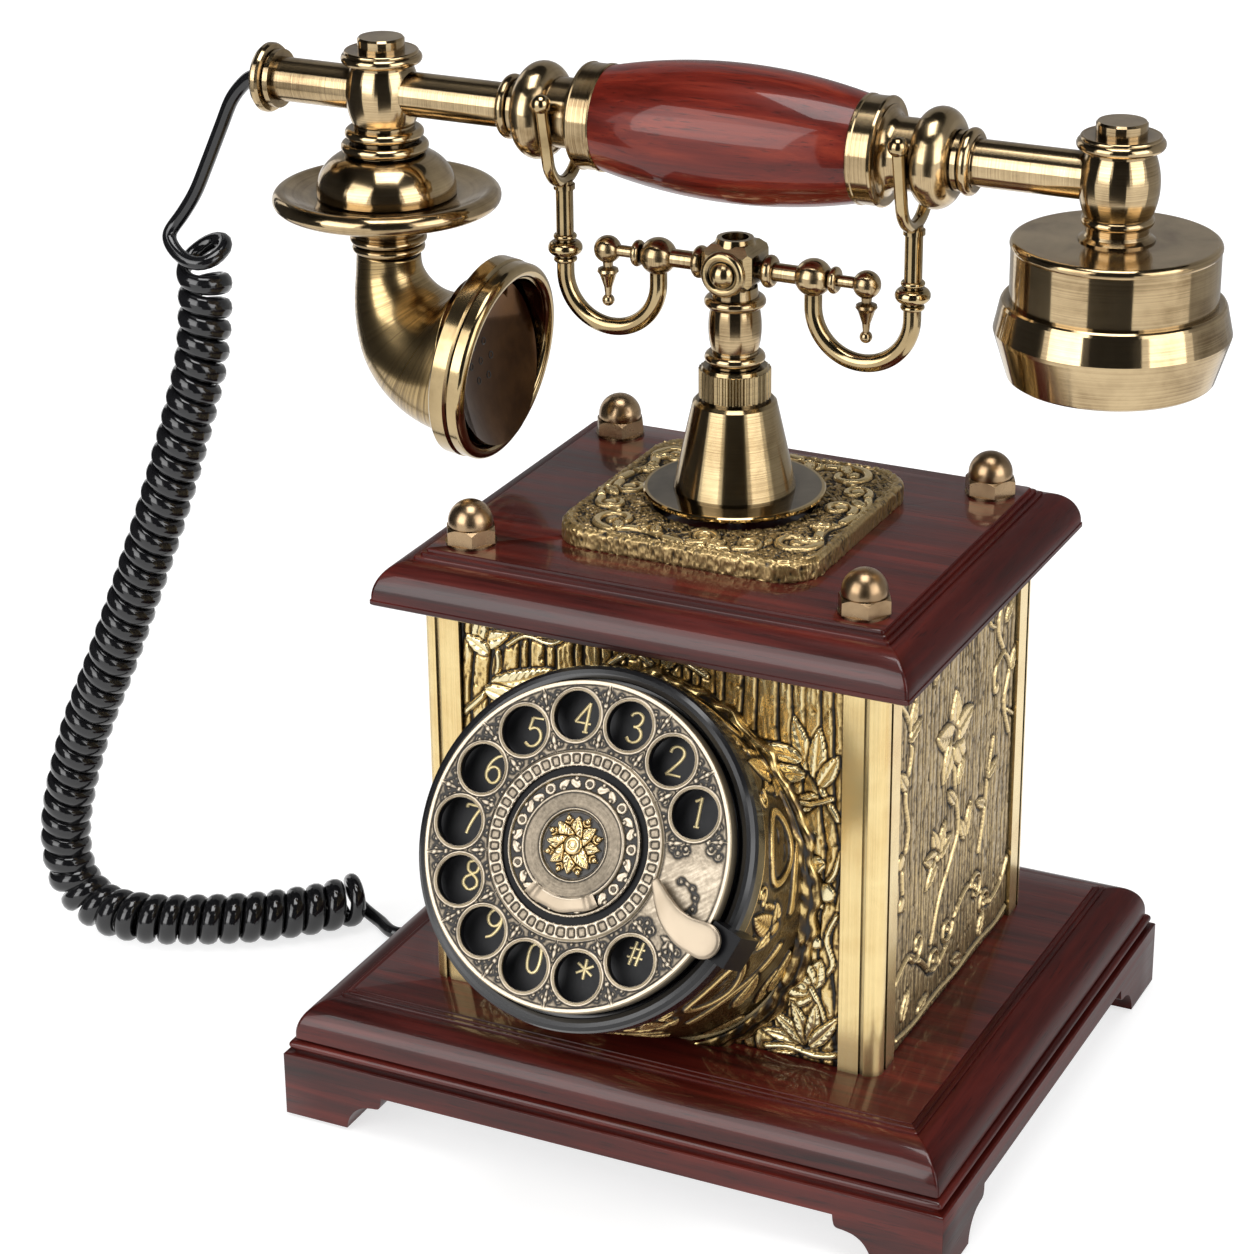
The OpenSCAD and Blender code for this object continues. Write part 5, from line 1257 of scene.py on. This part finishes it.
def medallion_heights(radius, theta):
    """Rim, scroll ring, fillet, brushed ring and recess, from the outside in."""
    mid = 17.05
    u, v = theta * mid, radius - mid
    r = Relief(u, v, 0.08 + 0.16 * noise2(u * 2.2, v * 2.2, 9))
    count = 27
    step = TAU * mid / count
    for k in range(count):
        x = (k + 0.5) * step
        if k % 3 == 0:
            r.disc(x, 0.0, 1.6, 0.95, 0.5, 0.6, furrow=0.3)
            r.disc(x, 0.0, 0.6, 0.3, 0.4, furrow=0.2)
        else:
            lean = 32 if k % 3 == 1 else 148
            r.leaf(x - 1.5 * math.cos(math.radians(lean)), -1.1, lean, 3.9, 2.3, 0.92, furrow=0.28,
                   rib=0.25)
            r.disc(x, 1.25 if k % 2 else -1.35, 0.55, 0.9, 0.5, furrow=0.22)
    h = r.h
    ring = (radius > 15.25) & (radius < 18.85)
    brushed = 0.45 + 0.10 * (noise2(radius * 6.0, theta * 2.0, 10) - 0.5)
    h = np.where(ring, h, brushed)
    h = np.where((radius > 14.4) & (radius <= 15.25), 0.85, h)
    h = np.where(radius >= 18.85, 0.88, h)
    for line in (14.3, 15.3, 18.85, 10.15):
        h = h * (1 - 0.75 * np.exp(-((radius - line) / 0.16) ** 2))
    h = np.where((radius < 10.1) & (radius > 9.5), 0.8, h)
    return np.where(radius <= 9.5, 0.22 + 0.08 * noise2(radius * 3, theta * 9, 11), h)


def rosette_heights(radius, theta):
    """The gold ornament in the middle: a ring of leaves round a boss."""
    x, y = radius * np.cos(theta), radius * np.sin(theta)
    r = Relief(x, y, 0.05)
    for k in range(8):
        r.leaf(0, 0, 22.5 + 45 * k, 8.9, 4.3, 0.72, furrow=0.3, rib=0.2)
    for k in range(8):
        r.leaf(0, 0, 45 * k, 8.0, 4.1, 0.86, furrow=0.3, rib=0.2)
    for k in range(8):
        r.disc(*polar(7.6, TAU * (k + 0.5) / 8), 0.75, 0.8, 0.4, furrow=0.25)
    r.disc(0, 0, 2.6, 0.98, 0.6, furrow=0.3)
    r.disc(0, 0, 1.1, 0.7, 0.9, furrow=0.2)
    return r.h


def make_dial_centre():
    """The ring of studs, the medallion, the rosette and the ribbon, from the outside in."""
    ring_rows = [(21.75, -0.2), (21.75, 0.45)] + [(r, 0.80) for r in np.arange(21.9, 25.6, 0.17)]
    ring_rows += [(25.68, 0.5), (25.7, 0.05)]
    polar_sheet("stud_ring", ring_rows, 768, stud_heights, 0.45, pewter_relief)
    rows = [(19.5, 0.1), (19.5, 1.2), (19.3, 1.55), (19.0, 1.6), (18.8, 1.25)]
    rows += [(r, 1.12) for r in np.arange(18.6, 15.35, -0.17)]
    rows += [(15.25, 1.3), (15.1, 1.75), (14.9, 1.9), (14.5, 1.92)]
    rows += [(r, 1.55 + 0.07 * (r - 9.6)) for r in np.arange(14.3, 9.75, -0.22)]
    rows += [(9.75, 1.45), (9.6, 1.0), (9.5, 0.85)] + [(r, 0.82) for r in np.arange(9.3, 0.3, -0.6)]
    rows.append((0.05, 0.82))
    polar_sheet("medallion_face", rows, 560, medallion_heights, 0.40, pewter_relief)
    rows = [(9.0, 0.84)] + [(r, 0.9) for r in np.arange(8.9, 0.1, -0.16)] + [(0.02, 0.9)]
    polar_sheet("rosette", rows, 300, rosette_heights, 1.6, rosette_gold)
    make_ribbon()


def make_ribbon():
    """A blank ribbon under the rosette, with folded ends."""
    span = (math.radians(-127), math.radians(-53))
    rows = [(18.4, 1.5), (18.3, 2.0), (18.1, 2.15), (17.0, 2.2), (16.0, 2.22), (15.0, 2.2),
            (14.3, 2.15), (14.1, 2.0), (14.0, 1.5)]
    theta = np.linspace(span[0], span[1], 90)
    t = (theta - span[0]) / (span[1] - span[0])
    wave = 0.35 * np.sin(t * math.pi * 5)
    fold = np.exp(-((t - 0.11) / 0.05) ** 2) + np.exp(-((t - 0.89) / 0.05) ** 2)
    points = []
    for r, w in rows:
        radius = r + wave * 0.6
        points.append(on_dial(radius * np.cos(theta), radius * np.sin(theta), w + 0.35 * fold))
    piece = mesh_object("blank_ribbon", np.array(points).reshape(-1, 3),
                        grid_faces(len(rows), len(theta)), [champagne], "dial_rotor", 40)
    weld_and_orient(piece)


def make_rims():
    """Bright rims round the finger holes and the wheel's edge."""
    profile = [(6.79, -0.5), (6.79, 0.25), (6.92, 0.44), (7.15, 0.5), (7.4, 0.44), (7.55, 0.2)]
    points, faces = [], []
    segments = 72
    angle = np.arange(segments) * TAU / segments
    for a in HOLE_ANGLES:
        cx, cy = polar(HOLE_RING_R, a)
        for r, w in profile:
            points.append(on_dial(cx + r * np.cos(angle), cy + r * np.sin(angle), w))
        faces += grid_faces(len(profile), segments, wrap=True,
                            offset=(len(points) - len(profile)) * segments)
    piece = mesh_object("hole_rims", np.concatenate(points), faces, [rim_gold], "dial_rotor", 50)
    edge = [(45.0, 0.04), (45.05, 0.3), (45.25, 0.36), (45.45, 0.2), (45.52, -0.3), (45.52, -3.9)]
    lathe("wheel_rim", edge, on_dial, rim_gold, "dial_rotor", 240, 50)
    edge = [(26.05, 0.1), (25.95, 0.62), (25.8, 0.7), (25.62, 0.72), (25.5, 0.5)]
    lathe("inner_rim", edge, on_dial, rim_gold, "dial_rotor", 200, 50)


DIGIT_STROKES = {
    "1": [[(-0.17, 0.33), (0.0, 0.44), (0.04, 0.5)], [(0.04, 0.5), (0.04, 0.0), (0.04, -0.5)],
          [(-0.06, -0.5), (0.14, -0.5)]],
    "2": [[(-0.25, 0.26), (-0.2, 0.42), (-0.02, 0.5), (0.19, 0.42), (0.25, 0.24), (0.15, 0.02),
           (-0.06, -0.24), (-0.27, -0.48)], [(-0.27, -0.48), (0.0, -0.47), (0.28, -0.48)]],
    "3": [[(-0.22, 0.36), (-0.12, 0.47), (0.04, 0.5), (0.2, 0.4), (0.21, 0.24), (0.11, 0.08),
           (-0.06, 0.02)], [(-0.06, 0.02), (0.14, -0.02), (0.26, -0.18), (0.22, -0.38),
                            (0.05, -0.5), (-0.14, -0.48), (-0.25, -0.36)]],
    "4": [[(0.13, 0.5), (0.13, 0.0), (0.13, -0.5)], [(0.13, 0.5), (-0.09, 0.15), (-0.3, -0.2)],
          [(-0.3, -0.2), (0.0, -0.2), (0.28, -0.2)], [(0.03, -0.5), (0.23, -0.5)]],
    "5": [[(0.25, 0.48), (0.04, 0.47), (-0.15, 0.47)], [(-0.15, 0.47), (-0.17, 0.26), (-0.2, 0.05)],
          [(-0.2, 0.05), (-0.03, 0.14), (0.15, 0.1), (0.26, -0.06), (0.26, -0.26), (0.12, -0.45),
           (-0.08, -0.5), (-0.26, -0.4)]],
    "6": [[(0.21, 0.47), (0.0, 0.36), (-0.17, 0.14), (-0.25, -0.12), (-0.21, -0.36), (-0.03, -0.5),
           (0.16, -0.44), (0.25, -0.24), (0.19, -0.04), (0.03, 0.05), (-0.14, -0.01),
           (-0.24, -0.16)]],
    "7": [[(-0.26, 0.36), (-0.25, 0.48), (0.0, 0.47), (0.28, 0.48)],
          [(0.28, 0.48), (0.1, 0.14), (-0.03, -0.2), (-0.1, -0.5)]],
    "8": [[(0.0, 0.5), (-0.19, 0.4), (-0.17, 0.16), (0.0, 0.04), (0.22, -0.12), (0.24, -0.34),
           (0.0, -0.5), (-0.24, -0.34), (-0.22, -0.12), (0.0, 0.04), (0.17, 0.16), (0.19, 0.4),
           (0.0, 0.5)]],
    "0": [[(0.0, 0.5), (-0.18, 0.36), (-0.23, 0.0), (-0.18, -0.36), (0.0, -0.5), (0.18, -0.36),
           (0.23, 0.0), (0.18, 0.36), (0.0, 0.5)]],
    "*": [[(0.0, 0.32), (0.0, -0.36)], [(-0.29, 0.15), (0.29, -0.19)],
          [(-0.29, -0.19), (0.29, 0.15)]],
    "#": [[(-0.04, 0.4), (-0.18, -0.4)], [(0.2, 0.4), (0.06, -0.4)], [(-0.26, 0.16), (0.3, 0.16)],
          [(-0.3, -0.14), (0.26, -0.14)]],
}
DIGIT_STROKES["9"] = [[(-x, -y) for x, y in line] for line in DIGIT_STROKES["6"]]


def make_digits():
    """Raised strokes of the digits on the black plate."""
    size, level, ring_r = 8.2, -6.96, 34.5
    points, faces = [], []
    count = 0
    for mark, angle in zip("1234567890*#", HOLE_ANGLES):
        cx, cy = ring_r * math.cos(angle) - 1.0, ring_r * math.sin(angle) + 1.3
        for stroke in DIGIT_STROKES[mark]:
            flat = catmull([(cx + size * x, cy + size * y) for x, y in stroke], 7)
            line = on_dial(flat[:, 0], flat[:, 1], np.full(len(flat), level))
            direction = np.gradient(flat, axis=0)
            lean = np.abs(direction[:, 1]) / (np.hypot(direction[:, 0], direction[:, 1]) + 1e-9)
            p, f = tube_mesh(line, 0.34 + 0.19 * lean, 8, DIAL_OUT)
            # the strokes are pressed flat towards the plate
            rise = (p - on_dial(0, 0, level)) @ DIAL_OUT
            points.append(p - 0.65 * rise[:, None] * DIAL_OUT)
            faces += [[count + v for v in face] for face in f]
            count += len(p)
    piece = mesh_object("digits", np.concatenate(points), faces, [digit_gold], "base", 60)


def make_finger_stop():
    """The curved finger: a thin pale horn with rounded edges."""
    circles = [(27, -5.2, 1.2), (28.2, -7.0, 1.7), (30.2, -9.9, 2.5), (33.4, -13.4, 3.4),
               (38.0, -16.2, 4.3), (43.6, -17.5, 4.9)]
    line = catmull(circles, 12)
    tangent = np.gradient(line[:, :2], axis=0)
    tangent /= np.linalg.norm(tangent, axis=1)[:, None]
    side = np.stack([-tangent[:, 1], tangent[:, 0]], 1)
    left, right = (line[:, :2] + s * side * line[:, 2:3] for s in (1, -1))
    caps = []
    for end, sign, r in ((-1, 1, line[-1, 2]), (0, -1, line[0, 2])):
        angle = np.linspace(90, -90, 15)[1:-1] * math.pi / 180
        along = tangent[end] * sign
        normal = side[end] * sign
        caps.append(line[end, :2] + r * (np.cos(angle)[:, None] * along
                                         + np.sin(angle)[:, None] * normal))
    outline = np.concatenate([left, caps[0], right[::-1], caps[1]])
    middle = np.concatenate([line[:, :2], np.repeat(line[-1:, :2], 13, 0), line[::-1, :2],
                             np.repeat(line[:1, :2], 13, 0)])
    loops = []
    for share, level in ((0.90, 2.6), (1.0, 2.75), (1.0, 3.95), (0.93, 4.25), (0.80, 4.38),
                         (0.45, 4.42), (0.12, 4.43)):
        flat = middle + (outline - middle) * share
        loops.append(on_dial(flat[:, 0], flat[:, 1], np.full(len(flat), level)))
    count = len(outline)
    faces = grid_faces(len(loops), count, wrap=True) + end_caps(len(loops), count)[::-1]
    piece = mesh_object("finger_stop_horn", np.concatenate(loops), faces, [champagne],
                        "finger_stop", 40)
    piece.modifiers.new("weld", "WELD").merge_threshold = 2e-5
    foot_x, foot_y = polar(49, math.radians(-20.5))
    lathe("finger_stop_stem", [(0.05, -7.9), (2.0, -7.9), (2.0, 2.6)],
          lambda x, y, w: on_dial(x + foot_x, y + foot_y, w), steel, "finger_stop", 32)
    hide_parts("finger_stop")


rosette_gold = relief_brass("rosette_gold", (0.20, 0.12, 0.04), (0.62, 0.43, 0.17),
                            (0.95, 0.76, 0.42), (0.16, 0.3))
rim_gold = brass("rim_gold", None, (0.27, 0.215, 0.14), (0.42, 0.345, 0.235), (0.34, 0.44), 0.15,
                 0.0)
wheel_relief()
make_dial_centre()
make_rims()
make_digits()
make_finger_stop()


# ---------------------------------------------------------------- drum, plate and horn

def panel_end(phi, radius):
    """Height over the wheel's face at which the drum meets the panel."""
    return (PANEL_FACE_Y + DIAL_CENTRE[1] + 0.5 * radius * np.sin(phi)) / math.cos(DIAL_TILT)


def drum_end(phi, radius):
    """Height over the wheel's face at which the drum meets the panel or the deck."""
    deck = (DECK_TOP - DIAL_CENTRE[2] - math.cos(DIAL_TILT) * radius * np.sin(phi)) / 0.5
    return np.maximum(panel_end(phi, radius), deck)


def drum_heights(u, v):
    """Brushed bronze under big leaves, cartouches and ribbons; v runs from the bezel back."""
    brush = noise2(u * 0.30, v * 5.0, 12) * 0.6 + noise2(u * 0.12, v * 2.0, 13) * 0.4
    cloud = noise2(u / 7, v / 7, 14)
    r = Relief(u, v, 0.50 + 0.14 * (brush - 0.5) + 0.10 * (cloud - 0.5))
    around = TAU * DRUM_R
    count = 7
    for k in range(-1, count + 1):
        x = around * (k / count - 0.535)
        # a smooth cartouche with a raised rim and small nicks
        oval = [(x + 9.6 * math.cos(t) + 1.2 * math.sin(2 * t), -28.5 + 7.8 * math.sin(t))
                for t in np.linspace(0, TAU, 25)]
        r.vine(oval, 2.3, 0.97, steps=3, furrow=0.9)
        for dx, dy, reach in ((-3.0, -2.2, 3.8), (1.5, 2.6, 3.0), (2.4, -3.0, 2.4)):
            r.vine([(x + dx, -28.5 + dy), (x + dx + reach / 2, -28.9 + dy),
                    (x + dx + reach, -28.4 + dy)], 0.6, 0.1, furrow=0.35)
        y = x + around / count / 2
        # acanthus between the cartouches, its tips toward the bezel
        for turn, reach, wide in ((60, 15.0, 6.0), (120, 15.0, 6.0), (90, 18.0, 6.8),
                                  (30, 9.0, 4.4), (150, 9.0, 4.4)):
            r.leaf(y, -35.5, turn, reach, wide, 0.92, 0.1 if turn < 90 else -0.1, 0.9, 0.25)
        r.disc(y, -35.8, 2.2, 0.95, furrow=0.8)
        # ribbons and long leaves that flow along the drum under them
        r.vine([(x - 16, -43), (x - 8, -40.5), (x, -40.5), (x + 8, -43.5), (x + 17, -46)],
               3.4, 0.92, 0.2, furrow=1.0)
        for dx, sy, turn in ((-6, -52, 25), (11, -56, 200), (2, -63, 20), (-9, -68, 190)):
            r.leaf(x + dx, sy, turn, 16, 6.2, 0.9, 0.12, 0.9, 0.25)
        r.scroll(x + 15, -20.5, 185, 2.6, 1.0, 1.7, -1, stem=2.0)
        r.scroll(x - 16, -20.5, -5, 2.6, 1.0, 1.7, 1, stem=2.0)
    rim = np.abs(v + 14.2)
    return np.where(rim < 0.9, np.maximum(r.h, 0.75 + 0.2 * (1 - rim / 0.9)), r.h)


DRUM_FRONT = -12.6


def make_drum():
    """The drum's cast jacket, from the bezel to the panel and the deck."""
    columns, rows = ((1100, 210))
    phi = np.linspace(-math.pi, math.pi, columns + 1)[:-1][None, :]
    t = np.linspace(0, 1, rows)[:, None] ** 0.9
    foot = drum_end(phi, DRUM_R + 0.4)
    w = DRUM_FRONT + (foot + 0.3 - DRUM_FRONT) * t
    phi = phi + 0 * w
    h = drum_heights(phi * DRUM_R, w)
    r = DRUM_R + 0.06 + 1.15 * np.clip(h, 0, 1.05)
    points = on_dial(r * np.cos(phi), r * np.sin(phi), w).reshape(-1, 3)
    piece = mesh_object("drum_relief", points, grid_faces(rows, columns, wrap=True, flip=True),
                        [drum_relief], "base", None, None, {"relief": h.reshape(-1)})
    make_drum_collar()


def make_drum_collar():
    """The leafy collar where the drum meets the panel."""
    columns, rows = 1300, 26
    phi = np.linspace(math.radians(-78), math.radians(258), columns)[None, :]
    lobes = 0.55 * np.sin(phi * 26) + 0.5 * np.sin(phi * 17 + 1.3) + 0.35 * np.sin(phi * 41 + 2)
    reach = 4.9 + 0.9 * lobes
    t = np.linspace(0, 1, rows)[:, None]
    out = reach * t
    radius = DRUM_R + out
    points = on_dial(radius * np.cos(phi), radius * np.sin(phi), panel_end(phi, radius))
    u = phi * (DRUM_R + 2) + 0 * t
    ribs = noise2(u * 0.55, out * 0.5 + u * 0.1, 15)
    twist = np.cos((u + 1.6 * out) * 0.9) * 0.5 + 0.5
    h = np.clip(0.52 + 0.5 * (ribs - 0.5) + 0.30 * (twist - 0.5), 0, 1)
    seam = (np.exp(-((out - 2.6 - 0.5 * lobes) / 0.35) ** 2)
            + np.exp(-((t - 0.93) / 0.05) ** 2) * 0.2)
    h = np.clip(h - 0.5 * seam + 0.25 * np.exp(-((t - 0.82) / 0.07) ** 2), 0, 1)
    profile = np.interp(t, [0, 0.30, 0.55, 0.80, 0.93, 1.0], [5.4, 4.9, 3.6, 2.3, 1.5, 0.1])
    points[..., 1] -= profile + 0.8 * h * np.interp(t, [0, 0.1, 0.9, 1], [0.3, 1, 1, 0])
    kept = (points[..., 2] > DECK_TOP + 0.02).reshape(-1)
    faces = [f for f in grid_faces(rows, columns, flip=True) if kept[f].all()]
    piece = mesh_object("drum_collar", points.reshape(-1, 3), faces, [drum_relief], "base", None,
                        None, {"relief": h.reshape(-1)})
    loose(piece)


def plate_heights(x, y):
    """Scrolling vines on a rough ground of crossed strokes."""
    drift = 2.5 * noise2(x / 5, y / 5, 16)
    strokes = [noise2((x + y) * 0.45 + drift, (x - y) * 1.9 + drift, 17),
               noise2((x - y) * 0.40 - drift, (x + y) * 1.7 + drift, 18)]
    r = Relief(x, y, np.clip(1.15 * np.maximum(*strokes) - 0.40, 0.10, 0.50))
    for k in range(4):
        a = k * math.pi / 2
        deg = math.degrees(a)
        for line, width, top, taper in (
                (((-22, -36), (-17, -33.6), (-11, -33.4), (-5, -36), (2, -35.6)), 3.0, 0.98, 0.0),
                (((-5, -36), (3, -37.4), (10, -37.2), (16, -35), (20.5, -31), (23, -26)),
                 2.9, 0.97, 0.35)):
            r.vine([rotated(px, py, a) for px, py in line], width, top, taper, furrow=1.0)
        for px, py, turn, size, side in ((-22, -36, 172, 6.6, -1), (2, -35.6, 4, 4.8, 1),
                                         (16, -35, 12, 4.0, 1)):
            r.scroll(*rotated(px, py, a), turn + deg, size, 1.1, 2.6, side, stem=2.5)
        for px, py, turn in ((-14, -33.6, 48), (-9, -34.2, 112), (8, -37, 55), (-20, -35.4, 118)):
            r.leaf(*rotated(px, py, a), turn + deg, 6.4, 3.4, 0.92, furrow=0.6, rib=0.2)
    return r.h


PLATE_HALF, PLATE_CORNER, PLATE_FACE = 40.5, 12.0, 182.3


def plate_edge(theta):
    """Points of the plate's rounded square outline in the directions theta."""
    half, corner = PLATE_HALF, PLATE_CORNER
    flat = half - corner
    length = 8 * flat + TAU * corner
    edge = []
    for s in np.linspace(0, length, 4000, endpoint=False):
        leg, rest = divmod(s, length / 4)
        if rest < flat:
            point = (half, rest)
        elif rest < flat + corner * math.pi / 2:
            turn = (rest - flat) / corner
            point = (flat + corner * math.cos(turn), flat + corner * math.sin(turn))
        else:
            point = (flat - (rest - flat - corner * math.pi / 2), half)
        for _ in range(int(leg)):
            point = (-point[1], point[0])
        edge.append(point)
    edge = np.array(edge)
    around = np.unwrap(np.arctan2(edge[:, 1], edge[:, 0]))
    return (np.interp(theta, around, edge[:, k], period=TAU) for k in range(2))


def make_plate():
    """The ornate plate under the stand: a vine relief, a hammered border and a rolled side."""
    columns, inner = ((1100, 130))
    side, start = 22, 24.0
    theta = np.arange(columns) * TAU / columns
    bx, by = plate_edge(theta)
    t = np.linspace(0, 1, inner)[:, None]
    x = start * np.cos(theta) * (1 - t) + bx * 0.965 * t
    y = start * np.sin(theta) * (1 - t) + by * 0.965 * t
    h = plate_heights(x, y)
    border = np.clip((t - 0.90) / 0.05, 0, 1)
    hammer = noise2(x / 0.9, y / 0.9, 19) * 0.6 + noise2(x / 0.45, y / 0.45, 20) * 0.4
    h = h * (1 - border) + border * (0.28 + 0.55 * hammer)
    z = np.where(t < 0.03, PLATE_FACE, PLATE_FACE + 1.6 * h)
    share = np.linspace(0, 1, side + 1)[1:, None]
    stops = [0, 0.12, 0.25, 0.4, 0.85, 1]
    roll = np.interp(share, stops, [0.965, 0.985, 0.997, 1.0, 1.0, 0.996])
    level = np.interp(share, stops, [182.9, 182.6, 182.0, 181.2, 177.6, 177.05])
    dent = noise2(theta * 52, share * 5, 21) * 0.6 + noise2(theta * 110, share * 9, 22) * 0.4
    # fades the dents out where the side's two ends meet
    from_seam = np.minimum(theta, TAU - theta)
    wrap = 0.5 - 0.5 * np.cos(from_seam * 8)
    dent = np.where(from_seam < math.pi / 8, 0.5 + (dent - 0.5) * wrap, dent)
    sx, sy = bx * (roll - 0.014 * (1 - dent)), by * (roll - 0.014 * (1 - dent))
    sz = level + 0 * theta
    points = np.concatenate([np.stack([x, y, z], -1), np.stack([sx, sy, sz], -1)])
    values = np.concatenate([h, 0.14 + 0.62 * dent])
    piece = mesh_object("ornate_relief", points.reshape(-1, 3),
                        grid_faces(inner + side, columns, wrap=True), [plate_relief], "base", None,
                        None, {"relief": values.reshape(-1)})
    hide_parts("ornate_plate")


MIC_X, HANDSET_Z = -112, 291.3
MOUTH, MOUTH_TILT = np.array([-75.4, 0, 213.9]), math.radians(8)
MOUTH_OUT = np.array([math.cos(MOUTH_TILT), 0, math.sin(MOUTH_TILT)])
MOUTH_UP = np.array([-math.sin(MOUTH_TILT), 0, math.cos(MOUTH_TILT)])
MOUTH_SIDE = np.cross(MOUTH_UP, MOUTH_OUT)
BOWL_R = 24.85


def make_elbow():
    """The transmitter's bent horn, drawn out smoothly from the saucer to the mouth."""
    top, end = np.array([MIC_X, 0, 242.9]), MOUTH - MOUTH_OUT * 9.02
    bends = np.array([top, top - (1.6, 0, 18.5), end - MOUTH_OUT * 17, end])
    t = np.linspace(0, 1, 90)[:, None]
    line = ((1 - t) ** 3 * bends[0] + 3 * t * (1 - t) ** 2 * bends[1]
            + 3 * t * t * (1 - t) * bends[2] + t ** 3 * bends[3])
    radius = catmull([(0, 9.5), (0.12, 10.2), (0.3, 13.2), (0.5, 17.2), (0.7, 20.2), (0.87, 22.1),
                      (1, 22.9)], 30)
    radius = np.interp(t[:, 0], radius[:, 0], radius[:, 1])
    points, faces = tube_mesh(line, radius, 96, (0, 1, 0))
    piece = mesh_object("horn_elbow", points, faces[:-2], [brass_horn], "handset", None)
    piece.modifiers.new("wall", "SOLIDIFY").thickness = 1.2 * MM
    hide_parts("mic_elbow")


def make_saucer():
    """The transmitter's saucer, with a rolled rim and three rings under it."""
    profile = [(0.9, -18.05), (8.6, -18.05)]
    profile += arc(9.2, -29.5, 11.45, 90, -4, 16)
    profile += [(20.2, -30.75), (22.0, -30.9), (24.5, -30.6), (27.0, -30.0), (29.2, -29.3)]
    profile += arc(30.9, -31.6, 2.75, 115, -110, 16)
    profile += [(28.6, -34.6), (25.6, -35.2), (25.3, -36.0), (23.0, -37.2), (17.5, -38.3),
                (12.4, -39.3), (11.2, -40.6), (10.2, -42.4)]
    profile += arc(10.2, -44.0, 1.2, 80, -80, 8) + arc(9.6, -46.8, 1.2, 80, -80, 8)
    profile += [(9.4, -48.35), (0.9, -48.35)]
    piece = lathe("rolled_saucer", profile,
                  lambda x, y, z: np.stack([x + MIC_X, y, z + HANDSET_Z], -1), brass_z, "handset",
                  160, 40, closed=True)
    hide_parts("mic_saucer")


def in_mouth(x, y, level):
    """Points, in mm, of places in the transmitter's mouth; level is the height over its rim."""
    return (MOUTH + x[..., None] * MOUTH_SIDE + y[..., None] * MOUTH_UP
            + level[..., None] * MOUTH_OUT)


def make_capsule():
    """The transmitter's dark bowl, with its few sound holes drawn as shallow dents in black: the
    black is painted shade of open holes.
    """
    radius = np.linspace(BOWL_R, 0.02, 60)
    level = -6.9 + 5.2 * (radius / BOWL_R) ** 2.4
    profile = [(BOWL_R, -7.3)] + list(zip(radius, level))
    bowl = lathe("capsule_bowl", profile, in_mouth, capsule_brown, "handset", 96, 40)
    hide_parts("mic_capsule")
    # the sound holes are shallow dents coloured black: painted shade in place of open holes
    angle = np.arange(20) * TAU / 20
    points, faces = [], []
    for k, (cx, cy) in enumerate([(0, 0)] + [polar(6, a) for a in np.arange(6) * TAU / 6]):
        for r, lift in ((1.15, 0.06), (0.85, 0.10), (0.8, -0.3), (0.05, -0.35)):
            x, y = cx + r * np.cos(angle), cy + r * np.sin(angle)
            level = -6.88 + 5.2 * (np.hypot(x, y) / BOWL_R) ** 2.4 + lift
            points.append(in_mouth(x, y, level))
        faces += grid_faces(4, 20, wrap=True, offset=k * 80)
    holes = mesh_object("capsule_hole_shade", np.concatenate(points), faces, [black_satin], "handset",
                        40)


drum_relief = relief_brass("drum_relief", (0.045, 0.025, 0.007), (0.15, 0.090, 0.025),
                           (0.86, 0.62, 0.25), (0.20, 0.36))
plate_relief = relief_brass("plate_relief", (0.29, 0.195, 0.075), (0.54, 0.38, 0.165),
                            (0.82, 0.63, 0.31), (0.24, 0.42))
make_drum()
make_plate()
make_elbow()
make_saucer()
make_capsule()
